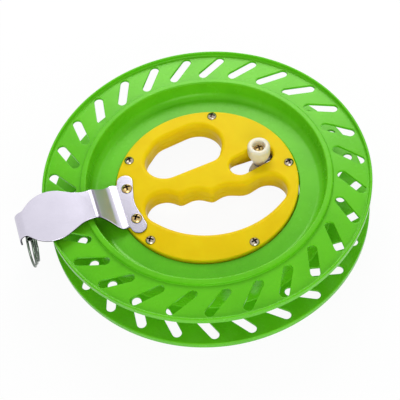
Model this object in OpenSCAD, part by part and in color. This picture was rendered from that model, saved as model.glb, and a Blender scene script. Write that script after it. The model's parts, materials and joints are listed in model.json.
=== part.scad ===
// Hand-held line winder: a two-flange wheel that spins on five ball bearings
// round a hand grip, with a sliding lock and a steel line guide.
// The wheel axis is Z, the rear rim lies on z = 0 and the grip faces up.

/* [Wheel] */
// Outside diameter of the two flanges
wheel_d = 220; // [212:1:240]
// Width over both rims
wheel_w = 37; // [36:0.5:44]
// Width of the raised lip round each flange
lip_w = 1.6; // [1.2:0.1:3]
// Height of the lip above the flange face
lip_h = 3; // [2:0.1:4]
// Thickness of a flange
flange_t = 2; // [1.6:0.1:4]
// Diameter of the drum that the line is wound on
drum_d = 168; // [164:1:176]
// Thickness of the drum wall at its bead
drum_wall = 3.5; // [3:0.1:4.5]
// Width of the bead round the inner edge of a flange
bead_w = 4; // [3.6:0.1:5]
// Height of the bead above the flange face
bead_h = 2.2; // [1:0.1:2.8]
// Draft of the recess wall from its bead to its foot
recess_draft = 2; // [0.5:0.1:2.5]
// Radius of the cove at the foot of the recess wall
cove_r = 5; // [2:0.1:6]
// Thickness of the hub ring between the drum and the grip
hub_w = 11; // [10.6:0.1:12]

/* [Flange slots] */
// Number of slots in each flange
slot_count = 27; // [18:1:30]
// Width of a slot
slot_w = 6.2; // [3:0.1:7]
// Flange left between a slot and the lip
slot_rim = 2; // [1:0.1:5]
// Flange left between a slot and the drum
slot_root = 3.3; // [1:0.1:5]
// Angle between the two ends of a slot
slot_lean = 6.7; // [0:0.1:12]
// Angle of the first slot of the front half
slot_phase = 92.6; // [0:0.1:360]
// Angle of the first slot of the rear half
rear_slot_phase = 266.6; // [0:0.1:360]

/* [Grip] */
// Diameter of the grip disc
grip_d = 123.8; // [122:0.2:128]
// Thickness of the grip over both shells
grip_t = 15.6; // [14.6:0.1:16.6]
// Wall of the shells
shell_wall = 2.2; // [1.6:0.1:2.6]
// Gap between the grip disc and the bore of the wheel
grip_gap = 0.5; // [0.3:0.05:1]
// Rounding of the hole edges
grip_round = 3; // [1:0.1:3.5]
// Radius of the rounded ends and finger hollows of the finger hole
finger_r = 12.4; // [10:0.1:13]
// Distance between the two ends of the finger hole
finger_span = 70.7; // [64:0.1:72]
// Middle of the finger hole, across
finger_x = 5.1; // [3:0.1:7]
// Middle of the finger hole, up
finger_y = -13.5; // [-15:0.1:-12]
// Tilt of the finger hole
finger_tilt = 3.7; // [0:0.1:8]
// Depth of the finger hole below the middle of its ends
finger_drop = 27.7; // [25:0.1:28]
// Distance from one finger hollow to the next
finger_step = 22; // [21:0.1:22.6]
// Radius of the two small bumps between the finger hollows
finger_bump_r = 5.1; // [4:0.1:6]
// Radius of the wide bump beside the last finger hollow
wide_bump_r = 13.1; // [10:0.1:14]

/* [Bearings] */
// Number of bearings round the grip
bearing_count = 5; // [3:1:5]
// Angle of the first bearing
bearing_phase = 9.1; // [5:0.1:12]
// Distance of the bearing screws from the edge of the grip
bearing_inset = 4.2; // [3.8:0.1:4.6]
// Outside diameter of a bearing
bearing_od = 17; // [15:0.5:17.4]
// Bore of a bearing
bearing_id = 6; // [5:0.1:6.4]
// Width of a bearing
bearing_w = 6; // [5:0.1:6.4]
// Number of balls in a bearing
ball_count = 7; // [5:1:8]
// Diameter of a ball
ball_d = 3.5; // [3:0.1:3.6]

/* [Lock] */
// Angle of the lock slot
lock_angle = 25.6; // [24:0.1:32]
// Distance of the knob from the grip's edge, unlocked
lock_inset = 20.1; // [18.9:0.1:20.9]
// Travel of the knob from there to the locked place
lock_out = 2.6; // [1.5:0.1:3]
// Travel of the knob from there to the inner end of its slot
lock_in = 15.5; // [10:0.1:15.6]
// Width of the lock slot
lock_slot_w = 15; // [14:0.1:16]
// Diameter of a knob at its top
knob_d = 15.4; // [13:0.1:15.6]
// Diameter of a knob at its waist
knob_waist_d = 8; // [7.4:0.1:9]
// Height of the front knob above the grip
knob_h = 10.5; // [8:0.1:11.5]
// Height of the rear knob above the grip
knob_rear_h = 8.4; // [7:0.1:9]
// Further radius of the lock slot's inner end in the rear shell
lock_rear_more = 3.4; // [0:0.1:4]
// Thickness of the lock bolt
bolt_t = 1.8; // [1.2:0.1:2]
// Width of the lock bolt's tongue
bolt_w = 5; // [4:0.1:6]
// Number of lock notches in the wheel
notch_count = 24; // [12:12:24]
// Depth of a lock notch
notch_depth = 3.4; // [2.6:0.1:4]

/* [Line guide] */
// Angle of the line guide
guide_angle = 192; // [188:0.5:194]
// Thickness of the guide's sheet
guide_t = 1.2; // [1:0.1:1.6]
// Gap between the guide and the rim that it passes over
guide_gap = 1.8; // [0.8:0.1:4]
// Reach of the guide past the wheel's rim
guide_over = 19.3; // [15:0.1:30]
// Distance of the guide's two screws from the grip's edge
guide_screw_inset = 7.8; // [7.4:0.1:8.9]
// Distance between the guide's two screws
guide_screw_gap = 25.6; // [24:0.1:27]
// Radius of the round part of the guide
guide_disc_r = 19.8; // [17:0.1:22]
// Distance of the round part's centre inside the wheel's rim
guide_disc_in = 4.5; // [2:0.1:8]
// Half the width of the guide's waist
guide_waist = 11.3; // [9:0.1:14]
// Half the width of the guide's end tab
guide_tab = 9.7; // [9:0.1:12]
// Depth of the end that is bent down
guide_drop = 9.3; // [7:0.1:14]
// Inner radius of the guide's lower bend
guide_low_bend = 11; // [6:0.1:12]
// Inner radius of the guide's upper bend
guide_bend = 4.5; // [2:0.1:5]

/* [Eyelet] */
// Diameter of the eyelet's wire
wire_d = 1.6; // [1:0.1:2]
// Radius of the eyelet's first loop
eyelet_r = 15; // [14.5:0.1:16]
// Turns of the eyelet's loops
eyelet_turns = 2.625; // [1.125:0.25:2.625]
// Distance from one turn to the next at the bottom of the loops
eyelet_pitch = 1.3; // [1.3:0.1:1.6]
// Further distance between the turns at the top of the loops
eyelet_fan = 1.7; // [1.2:0.1:2]
// Slant of the loops
eyelet_yaw = 4; // [0:1:8]
// Distance of the eyelet from the middle of the guide
eyelet_v = 2.6; // [0:0.1:2.8]
// Outside diameter of the ferrule that holds the wire
ferrule_d = 5.2; // [4.6:0.1:5.6]

/* [Screws] */
// Thread diameter of the grip, wheel and lock screws
screw_d = 3; // [2.6:0.1:3.2]
// Head diameter of the grip, wheel and lock screws
screw_head_d = 6.6; // [5:0.1:7]
// Head height of the grip, wheel and lock screws
screw_head_h = 2; // [1.5:0.1:2.2]
// Thread diameter of the guide screws
guide_screw_d = 4; // [3.4:0.1:4.4]
// Head diameter of the guide screws
guide_screw_head_d = 7.4; // [6.6:0.1:8]
// Head height of the guide screws
guide_screw_head_h = 2.4; // [2:0.1:3.2]
// Number of screws that join the wheel halves
wheel_screws_n = 8; // [4:1:12]

/* [Hidden] */
$fn = 64;

// Clearances and allowances
// Between a thread and its hole, and a pin and its bore
fit = 0.02;
// Round a screw that passes freely through a hole
free_fit = 0.15;
// Between the rolling faces of a bearing and its track
track_fit = 0.05;
// Beside a bearing, in the wheel and in the grip
side_gap = 0.4;
// Between the lock bolt and its channel
slide_fit = 0.3;
// Left at each end of the lock's travel
stop_gap = 0.4;
// Cutters run past the face that they cut by this much
over = 1;

// Heights: the two halves and the two shells meet on the middle plane
mid = wheel_w / 2;
grip_half = grip_t / 2;
hub_half = hub_w / 2;
grip_front = mid + grip_half;
grip_rear = mid - grip_half;
flange_face = mid - lip_h;
flange_in = flange_face - flange_t;
bead_top = flange_face + bead_h;

// Radii of the wheel and the grip
wheel_r = wheel_d / 2;
drum_r = drum_d / 2;
bead_r = drum_r - drum_wall;
recess_r = bead_r - recess_draft;
grip_r = grip_d / 2;
bore_r = grip_r + grip_gap;
bearing_r = grip_r - bearing_inset;
track_r = bearing_r + bearing_od / 2 + track_fit;
track_half = bearing_w / 2 + side_gap;
slot_out_r = wheel_r - lip_w - slot_rim - slot_w / 2;
slot_in_r = drum_r + slot_root + slot_w / 2;

// Hollow of the hub ring, with a boss for each screw
hub_skin = 2.4;
cove_steps = 8;
hollow_in_r = track_r + notch_depth + hub_skin / 2;
hollow_out_r = drum_r - drum_wall;
hollow_h = hub_half - hub_skin;
wheel_screw_r = (hollow_in_r + hollow_out_r) / 2;
wheel_boss_d = screw_head_d + 2;
pilot_floor = 1.2;
pilot_h = hub_half - pilot_floor;

// Grip: bosses round its screws and the block that the lock bolt slides in
boss_d = bearing_id + 1.6;
guide_boss_d = guide_screw_d + 6;
bearing_pocket_r = bearing_od / 2 + side_gap;
rim_wall = 2;
shell_edge = 0.6;

// Lock: the bolt stays inside the track until the knob is pushed outward
lock_r = grip_r - lock_inset;
bolt_clear = 0.35;
bolt_tip_r = track_r - bolt_clear;
bolt_eye_d = knob_waist_d;
knob_taper_h = 9.5;
knob_edge = 1;
knob_at_plate = knob_waist_d / 2 + (knob_d - knob_waist_d) / 2 * (grip_half - bolt_t / 2) / knob_taper_h;
lock_slot_in = lock_r - lock_in - knob_at_plate - stop_gap + lock_slot_w / 2;
lock_slot_out = lock_r + lock_out + knob_at_plate + stop_gap - lock_slot_w / 2;
lock_round = 2;
lock_rear_round = 1.2;
counterbore_d = screw_head_d + 2;
counterbore_h = 3.4;
knob_top = grip_half + knob_h;
knob_rear_top = grip_half + knob_rear_h;

// Nuts, across their flats
nut_af = 5.5;
nut_h = 2.4;
guide_nut_af = 7;
guide_nut_h = 3.2;
guide_nut_pocket_d = (guide_nut_af + 2 * free_fit) / cos(30);

// Line guide: foot on the grip, ramp over the recess, flat part over the rim
guide_reach = wheel_r + guide_over;
guide_disc_u = wheel_r - guide_disc_in;
guide_foot_z = grip_front;
guide_flat_z = wheel_w + guide_gap;
guide_screw_r = grip_r - guide_screw_inset;
guide_screw_u = sqrt(pow(guide_screw_r, 2) - pow(guide_screw_gap / 2, 2));
ramp_foot = 6.1;
ramp_clear = 2.5;
guide_ramp_in = guide_screw_u + ramp_foot;
guide_ramp_out = bead_r - ramp_clear;
guide_run = guide_ramp_out - guide_ramp_in;
guide_rise = guide_flat_z - guide_foot_z;
bend_sum = guide_low_bend + guide_bend + guide_t;
straight_rise = guide_rise - bend_sum;
guide_slope = atan2(straight_rise, guide_run) + asin(bend_sum / norm([straight_rise, guide_run]));
guide_screw_len = grip_t + guide_t - free_fit;
foot_lobe_r = 5.4;
foot_side = 6;
foot_lobe_v = guide_screw_gap / 2 + foot_side;
foot_hollow_r = 25;
foot_edge = 2.1;
foot_hollow_u = guide_screw_u - foot_edge - foot_hollow_r;
neck_share = 0.72;
foot_shoulder_r = 4;
foot_shoulder = 9.4;
foot_notch_r = 1.2;
neck_r = neck_share * (guide_disc_u - guide_disc_r - guide_screw_u - foot_lobe_r);
tab_hollow_r = 3;
tab_corner_r = 1;
tab_bend = 4.6;

// Eyelet: a ferrule under the tab, and loops that hang in front of the groove
ferrule_back = 0.9;
ferrule_u = guide_reach - guide_t - tab_bend - ferrule_back;
ferrule_z = guide_flat_z - ferrule_d / 2;
ferrule_len = 16;
ferrule_lip = 0.7;
ferrule_mouth = 1;
wire_r = wire_d / 2;
leg_bend = 4.5;
leg_v = -ferrule_len / 2 - wire_d;
loop_gap = 0.4;
loop_out = 0.2;
loop_u = ferrule_u + loop_out;
leg_len = 4;
loop_z = ferrule_z - ferrule_d / 2 - loop_gap - wire_r - eyelet_r;
loop_taper = wire_d;
loop_steps = 24;
wire_sides = 6;

// Circles on the two sides of a belt stand this much further apart than touching
belt_slack = 1.02;

// Holes through the grip, each a belt round circles: [x, y, radius, side].
// Side 1 keeps a circle inside the hole, and -1 makes it a bump of the edge.
function turned(p, a) = [p[0] * cos(a) - p[1] * sin(a), p[0] * sin(a) + p[1] * cos(a)];
function finger_at(u, v, r, side) =
    let (p = turned([u, v], finger_tilt)) [finger_x + p[0], finger_y + p[1], r, side];
// A circle outside the belt that rests between two circles inside it
function bump(a, b, r) =
    let (gap = [b[0] - a[0], b[1] - a[1]],
         from_a = (a[2] + r) * belt_slack,
         from_b = (b[2] + r) * belt_slack,
         along = gap / norm(gap),
         reach = (pow(norm(gap), 2) + pow(from_a, 2) - pow(from_b, 2)) / (2 * norm(gap)),
         rest = sqrt(pow(from_a, 2) - pow(reach, 2)))
    [a[0] + along[0] * reach + along[1] * rest, a[1] + along[1] * reach - along[0] * rest, r, -1];
// Lower edge of the finger hole, as flat as its rounded ends allow with a little slack
finger_slack = 0.2;
end_r = finger_r - finger_slack;
finger_low_r = (pow(finger_span / 2, 2) + pow(finger_drop, 2) - pow(end_r, 2)) / (2 * (finger_drop - end_r));
// How far the middle hollows of the finger hole lie below its ends
finger_sag = 2.5;
finger_sag_more = 0.6;
hollow_1 = finger_at(-finger_span / 2, 0, finger_r, 1);
hollow_2 = finger_at(-finger_span / 2 + finger_step, -finger_sag, finger_r, 1);
hollow_3 = finger_at(-finger_span / 2 + 2 * finger_step, -finger_sag - finger_sag_more, finger_r, 1);
hollow_4 = finger_at(finger_span / 2, 0, finger_r, 1);
finger_low = finger_at(0, finger_low_r - finger_drop, finger_low_r, 1);
finger_hole = [hollow_4, bump(hollow_4, hollow_3, wide_bump_r), hollow_3,
    bump(hollow_3, hollow_2, finger_bump_r), hollow_2, bump(hollow_2, hollow_1, finger_bump_r),
    hollow_1, finger_low];
thumb_corner = [3.1, 26.8, 8.4, 1];
thumb_top = [-4.1, 33.5, 17.2, 1];
thumb_shoulder = [-21.1, 28.6, 15.4, 1];
thumb_end = [-26.6, 22.8, 14.1, 1];
thumb_hole = [thumb_corner, thumb_top, thumb_shoulder, thumb_end];
function on_lock_line(r, more = 0) = [r * cos(lock_angle), r * sin(lock_angle), lock_slot_w / 2 + more, 1];
lock_hole = [on_lock_line(lock_slot_out), on_lock_line(lock_slot_in)];
rear_lock_hole = [on_lock_line(lock_slot_out), on_lock_line(lock_slot_in, lock_rear_more)];

// Points along a belt, grown outward by d, with a point at least every step degrees of its arcs
belt_step = 12;
slot_step = 20;
function wrap(a) = a - 360 * floor(a / 360);
function signed_r(c) = c[3] * c[2];
function leave_angle(a, b) =
    let (gap = [b[0] - a[0], b[1] - a[1]])
    atan2(gap[1], gap[0]) - acos((signed_r(a) - signed_r(b)) / norm(gap));
function sweep_of(from, to, side) = side > 0 ? wrap(to - from) : -wrap(from - to);
function belt(cs, d, step = belt_step) = [
    for (i = [0 : len(cs) - 1])
        let (here = cs[i], n = len(cs),
             from = leave_angle(cs[(i + n - 1) % n], here),
             turn = sweep_of(from, leave_angle(here, cs[(i + 1) % n]), here[3]),
             steps = max(1, ceil(abs(turn) / step)))
            for (k = [0 : steps])
                let (a = from + turn * k / steps)
                    [here[0] + (signed_r(here) + d) * cos(a), here[1] + (signed_r(here) + d) * sin(a)]];

// A solid through rings of points that all have the same count
module skin(rings) {
    n = len(rings[0]);
    m = len(rings);
    polyhedron(
        points = [for (ring = rings) each ring],
        faces = concat(
            [[for (i = [0 : n - 1]) i]],
            [for (j = [0 : m - 2]) for (i = [0 : n - 1]) each
                [[j * n + i, (j + 1) * n + i, (j + 1) * n + (i + 1) % n],
                 [j * n + i, (j + 1) * n + (i + 1) % n, j * n + (i + 1) % n]]],
            [[for (i = [n - 1 : -1 : 0]) (m - 1) * n + i]]),
        convexity = 6);
}

function lifted(points, z) = [for (p = points) [p[0], p[1], z]];

// Cutter for a hole through one shell, with its outer edge rounded
module rounded_hole(cs, round) {
    steps = 3;
    top = grip_half;
    skin(concat(
        [lifted(belt(cs, 0), -over)],
        [for (k = [0 : steps])
            let (a = 90 * k / steps)
                lifted(belt(cs, round * (1 - cos(a))), top - round + round * sin(a))],
        [lifted(belt(cs, round), top + over)]));
}

module ring_of(count, radius, phase = 0) {
    for (i = [0 : count - 1])
        rotate(phase + i * 360 / count)
            translate([radius, 0, 0])
                children();
}

module on_bearing(i) {
    rotate(bearing_phase + (i - 1) * 360 / bearing_count)
        translate([bearing_r, 0, mid])
            children();
}

module on_lock() {
    rotate(lock_angle)
        translate([lock_r, 0, mid])
            children();
}

module on_guide() {
    rotate(guide_angle)
        children();
}

module on_guide_screws() {
    on_guide()
        for (side = [-1, 1])
            translate([guide_screw_u, side * guide_screw_gap / 2, 0])
                children();
}

module tube(r_out, r_in, h) {
    difference() {
        cylinder(r = r_out, h = h);
        translate([0, 0, -over])
            cylinder(r = r_in, h = h + 2 * over);
    }
}

// Screw with a domed head on z = 0, its shank hanging down
module pan_screw(d, head_d, head_h, len) {
    dome_r = (pow(head_d / 2, 2) + pow(head_h, 2)) / (2 * head_h);
    recess_w = head_d * 0.17;
    recess_l = head_d * 0.62;
    difference() {
        union() {
            intersection() {
                cylinder(d = head_d, h = head_h);
                translate([0, 0, head_h - dome_r - head_h * 0.12])
                    sphere(r = dome_r + head_h * 0.12);
            }
            translate([0, 0, -len])
                cylinder(d = d, h = len);
        }
        for (a = [45, 135])
            rotate(a)
                translate([-recess_l / 2, -recess_w / 2, head_h * 0.35])
                    cube([recess_l, recess_w, head_h]);
    }
}

module hex_nut(af, h, d) {
    difference() {
        cylinder(d = af / cos(30), h = h, $fn = 6);
        translate([0, 0, -over])
            cylinder(d = d + 2 * fit, h = h + 2 * over);
    }
}

// Points along an arc
function arc(c, r, from, to, steps) =
    [for (k = [0 : steps]) let (a = from + (to - from) * k / steps) c + r * [cos(a), sin(a)]];

// Section of one wheel half above the middle plane, with a cove that meets floor and wall smoothly
module wheel_section() {
    draft = atan2(recess_draft, bead_top - hub_half);
    cove_c = [recess_r - cove_r * (1 - sin(draft)) / cos(draft), hub_half + cove_r];
    polygon(concat(
        [[bore_r, track_half], [bore_r, hub_half]],
        arc(cove_c, cove_r, -90, -draft, cove_steps),
        [[bead_r, bead_top], [bead_r + bead_w, bead_top], [bead_r + bead_w, flange_face],
         [wheel_r - lip_w, flange_face], [wheel_r - lip_w, mid], [wheel_r, mid],
         [wheel_r, flange_in], [drum_r, flange_in], [drum_r, 0],
         [hollow_out_r, 0], [hollow_out_r, hollow_h], [hollow_in_r, hollow_h], [hollow_in_r, 0],
         [track_r, 0], [track_r, track_half]]));
}

module flange_slots(phase) {
    slot = [[slot_out_r, 0, slot_w / 2, 1],
        [slot_in_r * cos(slot_lean), slot_in_r * sin(slot_lean), slot_w / 2, 1]];
    for (i = [0 : slot_count - 1])
        rotate(phase + i * 360 / slot_count)
            polygon(belt(slot, 0, slot_step));
}

// One wheel half, lying on the middle plane with its flange up
module wheel_half(phase) {
    difference() {
        union() {
            rotate_extrude($fn = 180)
                wheel_section();
            ring_of(wheel_screws_n, wheel_screw_r, lock_angle)
                cylinder(d = wheel_boss_d, h = hollow_h + hub_skin / 2);
        }
        translate([0, 0, flange_in - over])
            linear_extrude(flange_t + 2 * over)
                flange_slots(phase);
        ring_of(notch_count, track_r, lock_angle)
            translate([-over, -bolt_w / 2 - slide_fit, -over])
                cube([notch_depth + over, bolt_w + 2 * slide_fit, bolt_t / 2 + slide_fit + over]);
    }
}

module wheel_front_half() {
    color("limegreen")
        translate([0, 0, mid])
            difference() {
                wheel_half(slot_phase);
                ring_of(wheel_screws_n, wheel_screw_r, lock_angle)
                    translate([0, 0, -over])
                        cylinder(d = screw_d + 2 * fit, h = pilot_h + over);
            }
}

module wheel_rear_half() {
    color("limegreen")
        translate([0, 0, mid])
            difference() {
                rotate([180, 0, 0])
                    rotate(-2 * lock_angle)
                        wheel_half(2 * lock_angle - rear_slot_phase);
                ring_of(wheel_screws_n, wheel_screw_r, lock_angle) {
                    translate([0, 0, -hub_half - over])
                        cylinder(d = screw_d + 2 * free_fit, h = hub_half + 2 * over);
                    translate([0, 0, -hub_half - over])
                        cylinder(d = screw_head_d + 2 * free_fit, h = screw_head_h + free_fit + over);
                }
            }
}

module wheel_screws() {
    seat = mid - hub_half + screw_head_h + free_fit;
    color("silver")
        ring_of(wheel_screws_n, wheel_screw_r, lock_angle)
            translate([0, 0, seat])
                mirror([0, 0, 1])
                    pan_screw(screw_d, screw_head_d, screw_head_h, mid + pilot_h - seat - free_fit);
}

// Hollow of a shell: open inside its rim, apart from the walls of its holes and its bosses
module shell_hollow(slot) {
    difference() {
        circle(r = grip_r - rim_wall);
        for (cs = [finger_hole, thumb_hole, slot])
            polygon(belt(cs, shell_wall));
        rotate(guide_angle)
            for (side = [-1, 1])
                translate([guide_screw_u, side * guide_screw_gap / 2])
                    circle(d = guide_boss_d);
        rotate(lock_angle)
            translate([lock_slot_out, -bolt_w / 2 - shell_wall])
                square([grip_r - lock_slot_out, bolt_w + 2 * shell_wall]);
    }
}

// One grip shell with its lock slot and that slot's rounding,
// lying on the middle plane with its outer face up
module grip_shell(slot, round) {
    difference() {
        union() {
            difference() {
                cylinder(r = grip_r, h = grip_half - shell_edge, $fn = 180);
                translate([0, 0, -over])
                    linear_extrude(grip_half - shell_wall + over)
                        shell_hollow(slot);
                ring_of(bearing_count, bearing_r, bearing_phase)
                    translate([0, 0, -over])
                        cylinder(r = bearing_pocket_r, h = track_half + over);
            }
            translate([0, 0, grip_half - shell_edge])
                cylinder(r1 = grip_r, r2 = grip_r - shell_edge, h = shell_edge, $fn = 180);
            ring_of(bearing_count, bearing_r, bearing_phase)
                translate([0, 0, bearing_w / 2])
                    cylinder(d = boss_d, h = grip_half - shell_wall / 2 - bearing_w / 2);
        }
        rounded_hole(finger_hole, grip_round);
        rounded_hole(thumb_hole, grip_round);
        rounded_hole(slot, round);
        rotate(lock_angle)
            translate([lock_slot_in, -bolt_w / 2 - slide_fit, -over])
                cube([grip_r - lock_slot_in + over, bolt_w + 2 * slide_fit, bolt_t / 2 + slide_fit + over]);
    }
}

module grip_front_shell() {
    color("gold")
        translate([0, 0, mid])
            difference() {
                grip_shell(lock_hole, lock_round);
                ring_of(bearing_count, bearing_r, bearing_phase)
                    cylinder(d = screw_d + 2 * free_fit, h = grip_half + over);
                on_guide_screws()
                    translate([0, 0, -over])
                        cylinder(d = guide_screw_d + 2 * free_fit, h = grip_half + 2 * over);
            }
}

module grip_rear_shell() {
    color("gold")
        translate([0, 0, mid])
            difference() {
                mirror([0, 0, 1])
                    grip_shell(rear_lock_hole, lock_rear_round);
                ring_of(bearing_count, bearing_r, bearing_phase)
                    translate([0, 0, -grip_half + pilot_floor])
                        cylinder(d = screw_d + 2 * fit, h = grip_half);
                on_guide_screws() {
                    translate([0, 0, -grip_half - over])
                        cylinder(d = guide_screw_d + 2 * free_fit, h = grip_half + 2 * over);
                    translate([0, 0, -grip_half - over])
                        cylinder(d = guide_nut_pocket_d, h = guide_nut_h + over, $fn = 6);
                }
            }
}

module grip_screws() {
    color("silver")
        for (i = [1 : bearing_count])
            on_bearing(i)
                translate([0, 0, grip_half])
                    pan_screw(screw_d, screw_head_d, screw_head_h, grip_t - pilot_floor - free_fit);
}

module bearing_sleeves() {
    color("tan")
        for (i = [1 : bearing_count])
            on_bearing(i)
                translate([0, 0, -bearing_w / 2])
                    tube(bearing_id / 2 - fit, screw_d / 2 + free_fit / 2, bearing_w);
}

// Bearing sections: the balls run between two grooved rings
ball_r = ball_d / 2;
pitch_r = (bearing_od + bearing_id) / 4;
race_r = ball_r + track_fit;
ring_wall = (bearing_od - bearing_id) / 4 - ball_r * 0.66;

module race_groove() {
    rotate_extrude()
        translate([pitch_r, 0])
            circle(r = race_r);
}

module bearing_inner_rings() {
    color("lightsteelblue")
        for (i = [1 : bearing_count])
            on_bearing(i)
                difference() {
                    translate([0, 0, -bearing_w / 2])
                        tube(bearing_id / 2 + ring_wall, bearing_id / 2, bearing_w);
                    race_groove();
                }
}

module bearing_ring(i) {
    color("lightsteelblue")
        on_bearing(i)
            difference() {
                translate([0, 0, -bearing_w / 2])
                    tube(bearing_od / 2, bearing_od / 2 - ring_wall, bearing_w);
                race_groove();
            }
}

module ball_set(i) {
    color("white")
        on_bearing(i)
            ring_of(ball_count, pitch_r)
                sphere(r = ball_r);
}

// Side view of the guide's sheet: foot, lower bend, ramp, upper bend, flat part, bent end
module guide_side() {
    low_c = [guide_ramp_in, guide_foot_z + guide_t + guide_low_bend];
    high_c = [guide_ramp_out, guide_flat_z - guide_bend];
    tab_c = [guide_reach - tab_bend - guide_t, guide_flat_z - tab_bend];
    steps = 6;
    polygon(concat(
        [[0, guide_foot_z]],
        arc(low_c, guide_low_bend + guide_t, 270, 270 + guide_slope, steps),
        arc(high_c, guide_bend, 90 + guide_slope, 90, steps),
        arc(tab_c, tab_bend, 90, 0, steps),
        [[guide_reach - guide_t, guide_flat_z - guide_drop], [guide_reach, guide_flat_z - guide_drop]],
        arc(tab_c, tab_bend + guide_t, 0, 90, steps),
        arc(high_c, guide_bend + guide_t, 90, 90 + guide_slope, steps),
        arc(low_c, guide_low_bend, 270 + guide_slope, 270, steps),
        [[0, guide_foot_z + guide_t]]));
}

// Plan of the guide, a belt round its end tab, round part, waist, shoulders and two foot lobes
function hollow_u(r, v) = sqrt(pow((guide_disc_r + r) * belt_slack, 2) - pow(v + r, 2));
disc_at = [guide_disc_u, 0, guide_disc_r, 1];
function tab_corner(side) =
    [guide_reach + tab_corner_r, side * (guide_tab - tab_corner_r), tab_corner_r, 1];
function tab_hollow(side) =
    [guide_disc_u + hollow_u(tab_hollow_r, guide_tab), side * (guide_tab + tab_hollow_r), tab_hollow_r, -1];
function neck_at(side) =
    [guide_disc_u - hollow_u(neck_r, guide_waist), side * (guide_waist + neck_r), neck_r, -1];
function foot_lobe(side) = [guide_screw_u, side * foot_lobe_v, foot_lobe_r, 1];
// A shoulder between the waist and each lobe, with a small notch beside the lobe
function shoulder_at(side) =
    let (neck = neck_at(side),
         u = guide_screw_u + foot_shoulder,
         away = sqrt(pow((neck_r + foot_shoulder_r) * belt_slack, 2) - pow(neck[0] - u, 2)))
    [u, neck[1] - side * away, foot_shoulder_r, 1];
guide_belt = [tab_corner(-1), tab_corner(1), tab_hollow(1), disc_at, neck_at(1), shoulder_at(1),
    bump(shoulder_at(1), foot_lobe(1), foot_notch_r), foot_lobe(1),
    [foot_hollow_u, 0, foot_hollow_r, -1], foot_lobe(-1),
    bump(foot_lobe(-1), shoulder_at(-1), foot_notch_r), shoulder_at(-1),
    neck_at(-1), disc_at, tab_hollow(-1)];

module line_guide() {
    width = 2 * (guide_disc_r + foot_lobe_v);
    color("lavender")
        difference() {
            on_guide()
                intersection() {
                    rotate([90, 0, 0])
                        linear_extrude(width, center = true)
                            guide_side();
                    linear_extrude(guide_flat_z + guide_t + over)
                        polygon(belt(guide_belt, 0));
                }
            on_guide_screws()
                translate([0, 0, guide_foot_z - over])
                    cylinder(d = guide_screw_d + 2 * free_fit, h = guide_t + 2 * over);
        }
}

module guide_screws() {
    color("goldenrod")
        on_guide_screws()
            translate([0, 0, guide_foot_z + guide_t])
                pan_screw(guide_screw_d, guide_screw_head_d, guide_screw_head_h, guide_screw_len);
}

module guide_nuts() {
    color("goldenrod")
        on_guide_screws()
            translate([0, 0, grip_rear])
                hex_nut(guide_nut_af, guide_nut_h, guide_screw_d);
}

module eyelet_ferrule() {
    color("silver")
        on_guide()
            translate([ferrule_u, eyelet_v + ferrule_len / 2, ferrule_z])
                rotate([90, 0, 0])
                    difference() {
                        tube(ferrule_d / 2, wire_r + free_fit, ferrule_len);
                        translate([0, 0, -fit])
                            cylinder(r1 = ferrule_d / 2 - ferrule_lip, r2 = wire_r, h = ferrule_mouth);
                    }
}

// Middle line of the eyelet's wire: a leg in the ferrule, a bend, a run down and the loops
// The turns nest at the bottom, each one smaller by the wire, and fan out to the top about the middle turn
function loop_shift(a, turn) =
    let (pitch = eyelet_pitch + eyelet_fan * (1 + sin(a)) / 2)
    loop_u + eyelet_r * cos(a) * tan(eyelet_yaw) + pitch * (eyelet_turns / 2 - turn);
loop_start = loop_shift(180, 0);
leg_points = [for (v = [leg_len, 0, leg_v]) [ferrule_u, v, ferrule_z]];
bend_points = [for (k = [1 : 4])
    let (a = 90 + 90 * k / 4, s = pow(k / 4, 2))
        [ferrule_u * (1 - s) + loop_start * s, leg_v + leg_bend * cos(a),
         ferrule_z - leg_bend + leg_bend * sin(a)]];
run_points = [for (k = [1 : 3])
    let (s = k / 4)
        [loop_start, (leg_v - leg_bend) * (1 - s) - eyelet_r * s,
         (ferrule_z - leg_bend) * (1 - s) + loop_z * s]];
loop_points = [for (k = [0 : floor(loop_steps * eyelet_turns)])
    let (a = 180 + 360 * k / loop_steps, r = eyelet_r - loop_taper * k / loop_steps)
        [loop_shift(a, k / loop_steps), r * cos(a), loop_z + r * sin(a)]];
wire_points = concat(leg_points, bend_points, run_points, loop_points);

// Rings of points square to a middle line, each turned as little as can be from the one before
function way(path, i) =
    let (d = path[min(i + 1, len(path) - 1)] - path[max(i - 1, 0)]) d / norm(d);
function square_to(t, x) = let (y = x - t * (x * t)) y / norm(y);
function frames(path, i = 0, x = [0, 0, 1]) =
    let (here = square_to(way(path, i), x))
    i == len(path) - 1 ? [here] : concat([here], frames(path, i + 1, here));
function wire_rings(path, r) =
    let (xs = frames(path))
    [for (i = [0 : len(path) - 1])
        let (x = xs[i], y = cross(way(path, i), x))
            [for (k = [0 : wire_sides - 1])
                path[i] + r * (x * cos(360 * k / wire_sides) + y * sin(360 * k / wire_sides))]];

// Least gap between parts of the wire that are more than a third of a turn apart
wire_last = len(wire_points) - 1;
wire_gap = min([for (i = [0 : wire_last])
    for (j = [i + loop_steps / 3 : 1 : wire_last]) norm(wire_points[i] - wire_points[j])]) - wire_d;
echo(eyelet_least_gap = wire_gap);

module line_eyelet() {
    color("silver")
        on_guide()
            translate([0, eyelet_v, 0])
                skin(wire_rings(wire_points, wire_r));
}

// One knob of the given height, standing on the lock bolt
module lock_knob(top) {
    foot = bolt_t / 2;
    rotate_extrude()
        difference() {
            polygon([[0, foot], [knob_waist_d / 2, foot], [knob_d / 2, foot + knob_taper_h],
                [knob_d / 2, top - knob_edge], [knob_d / 2 - knob_edge, top], [0, top]]);
            translate([0, foot - over])
                square([screw_d / 2 + free_fit, top]);
            translate([0, top - counterbore_h])
                square([counterbore_d / 2, counterbore_h + over]);
        }
}

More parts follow.
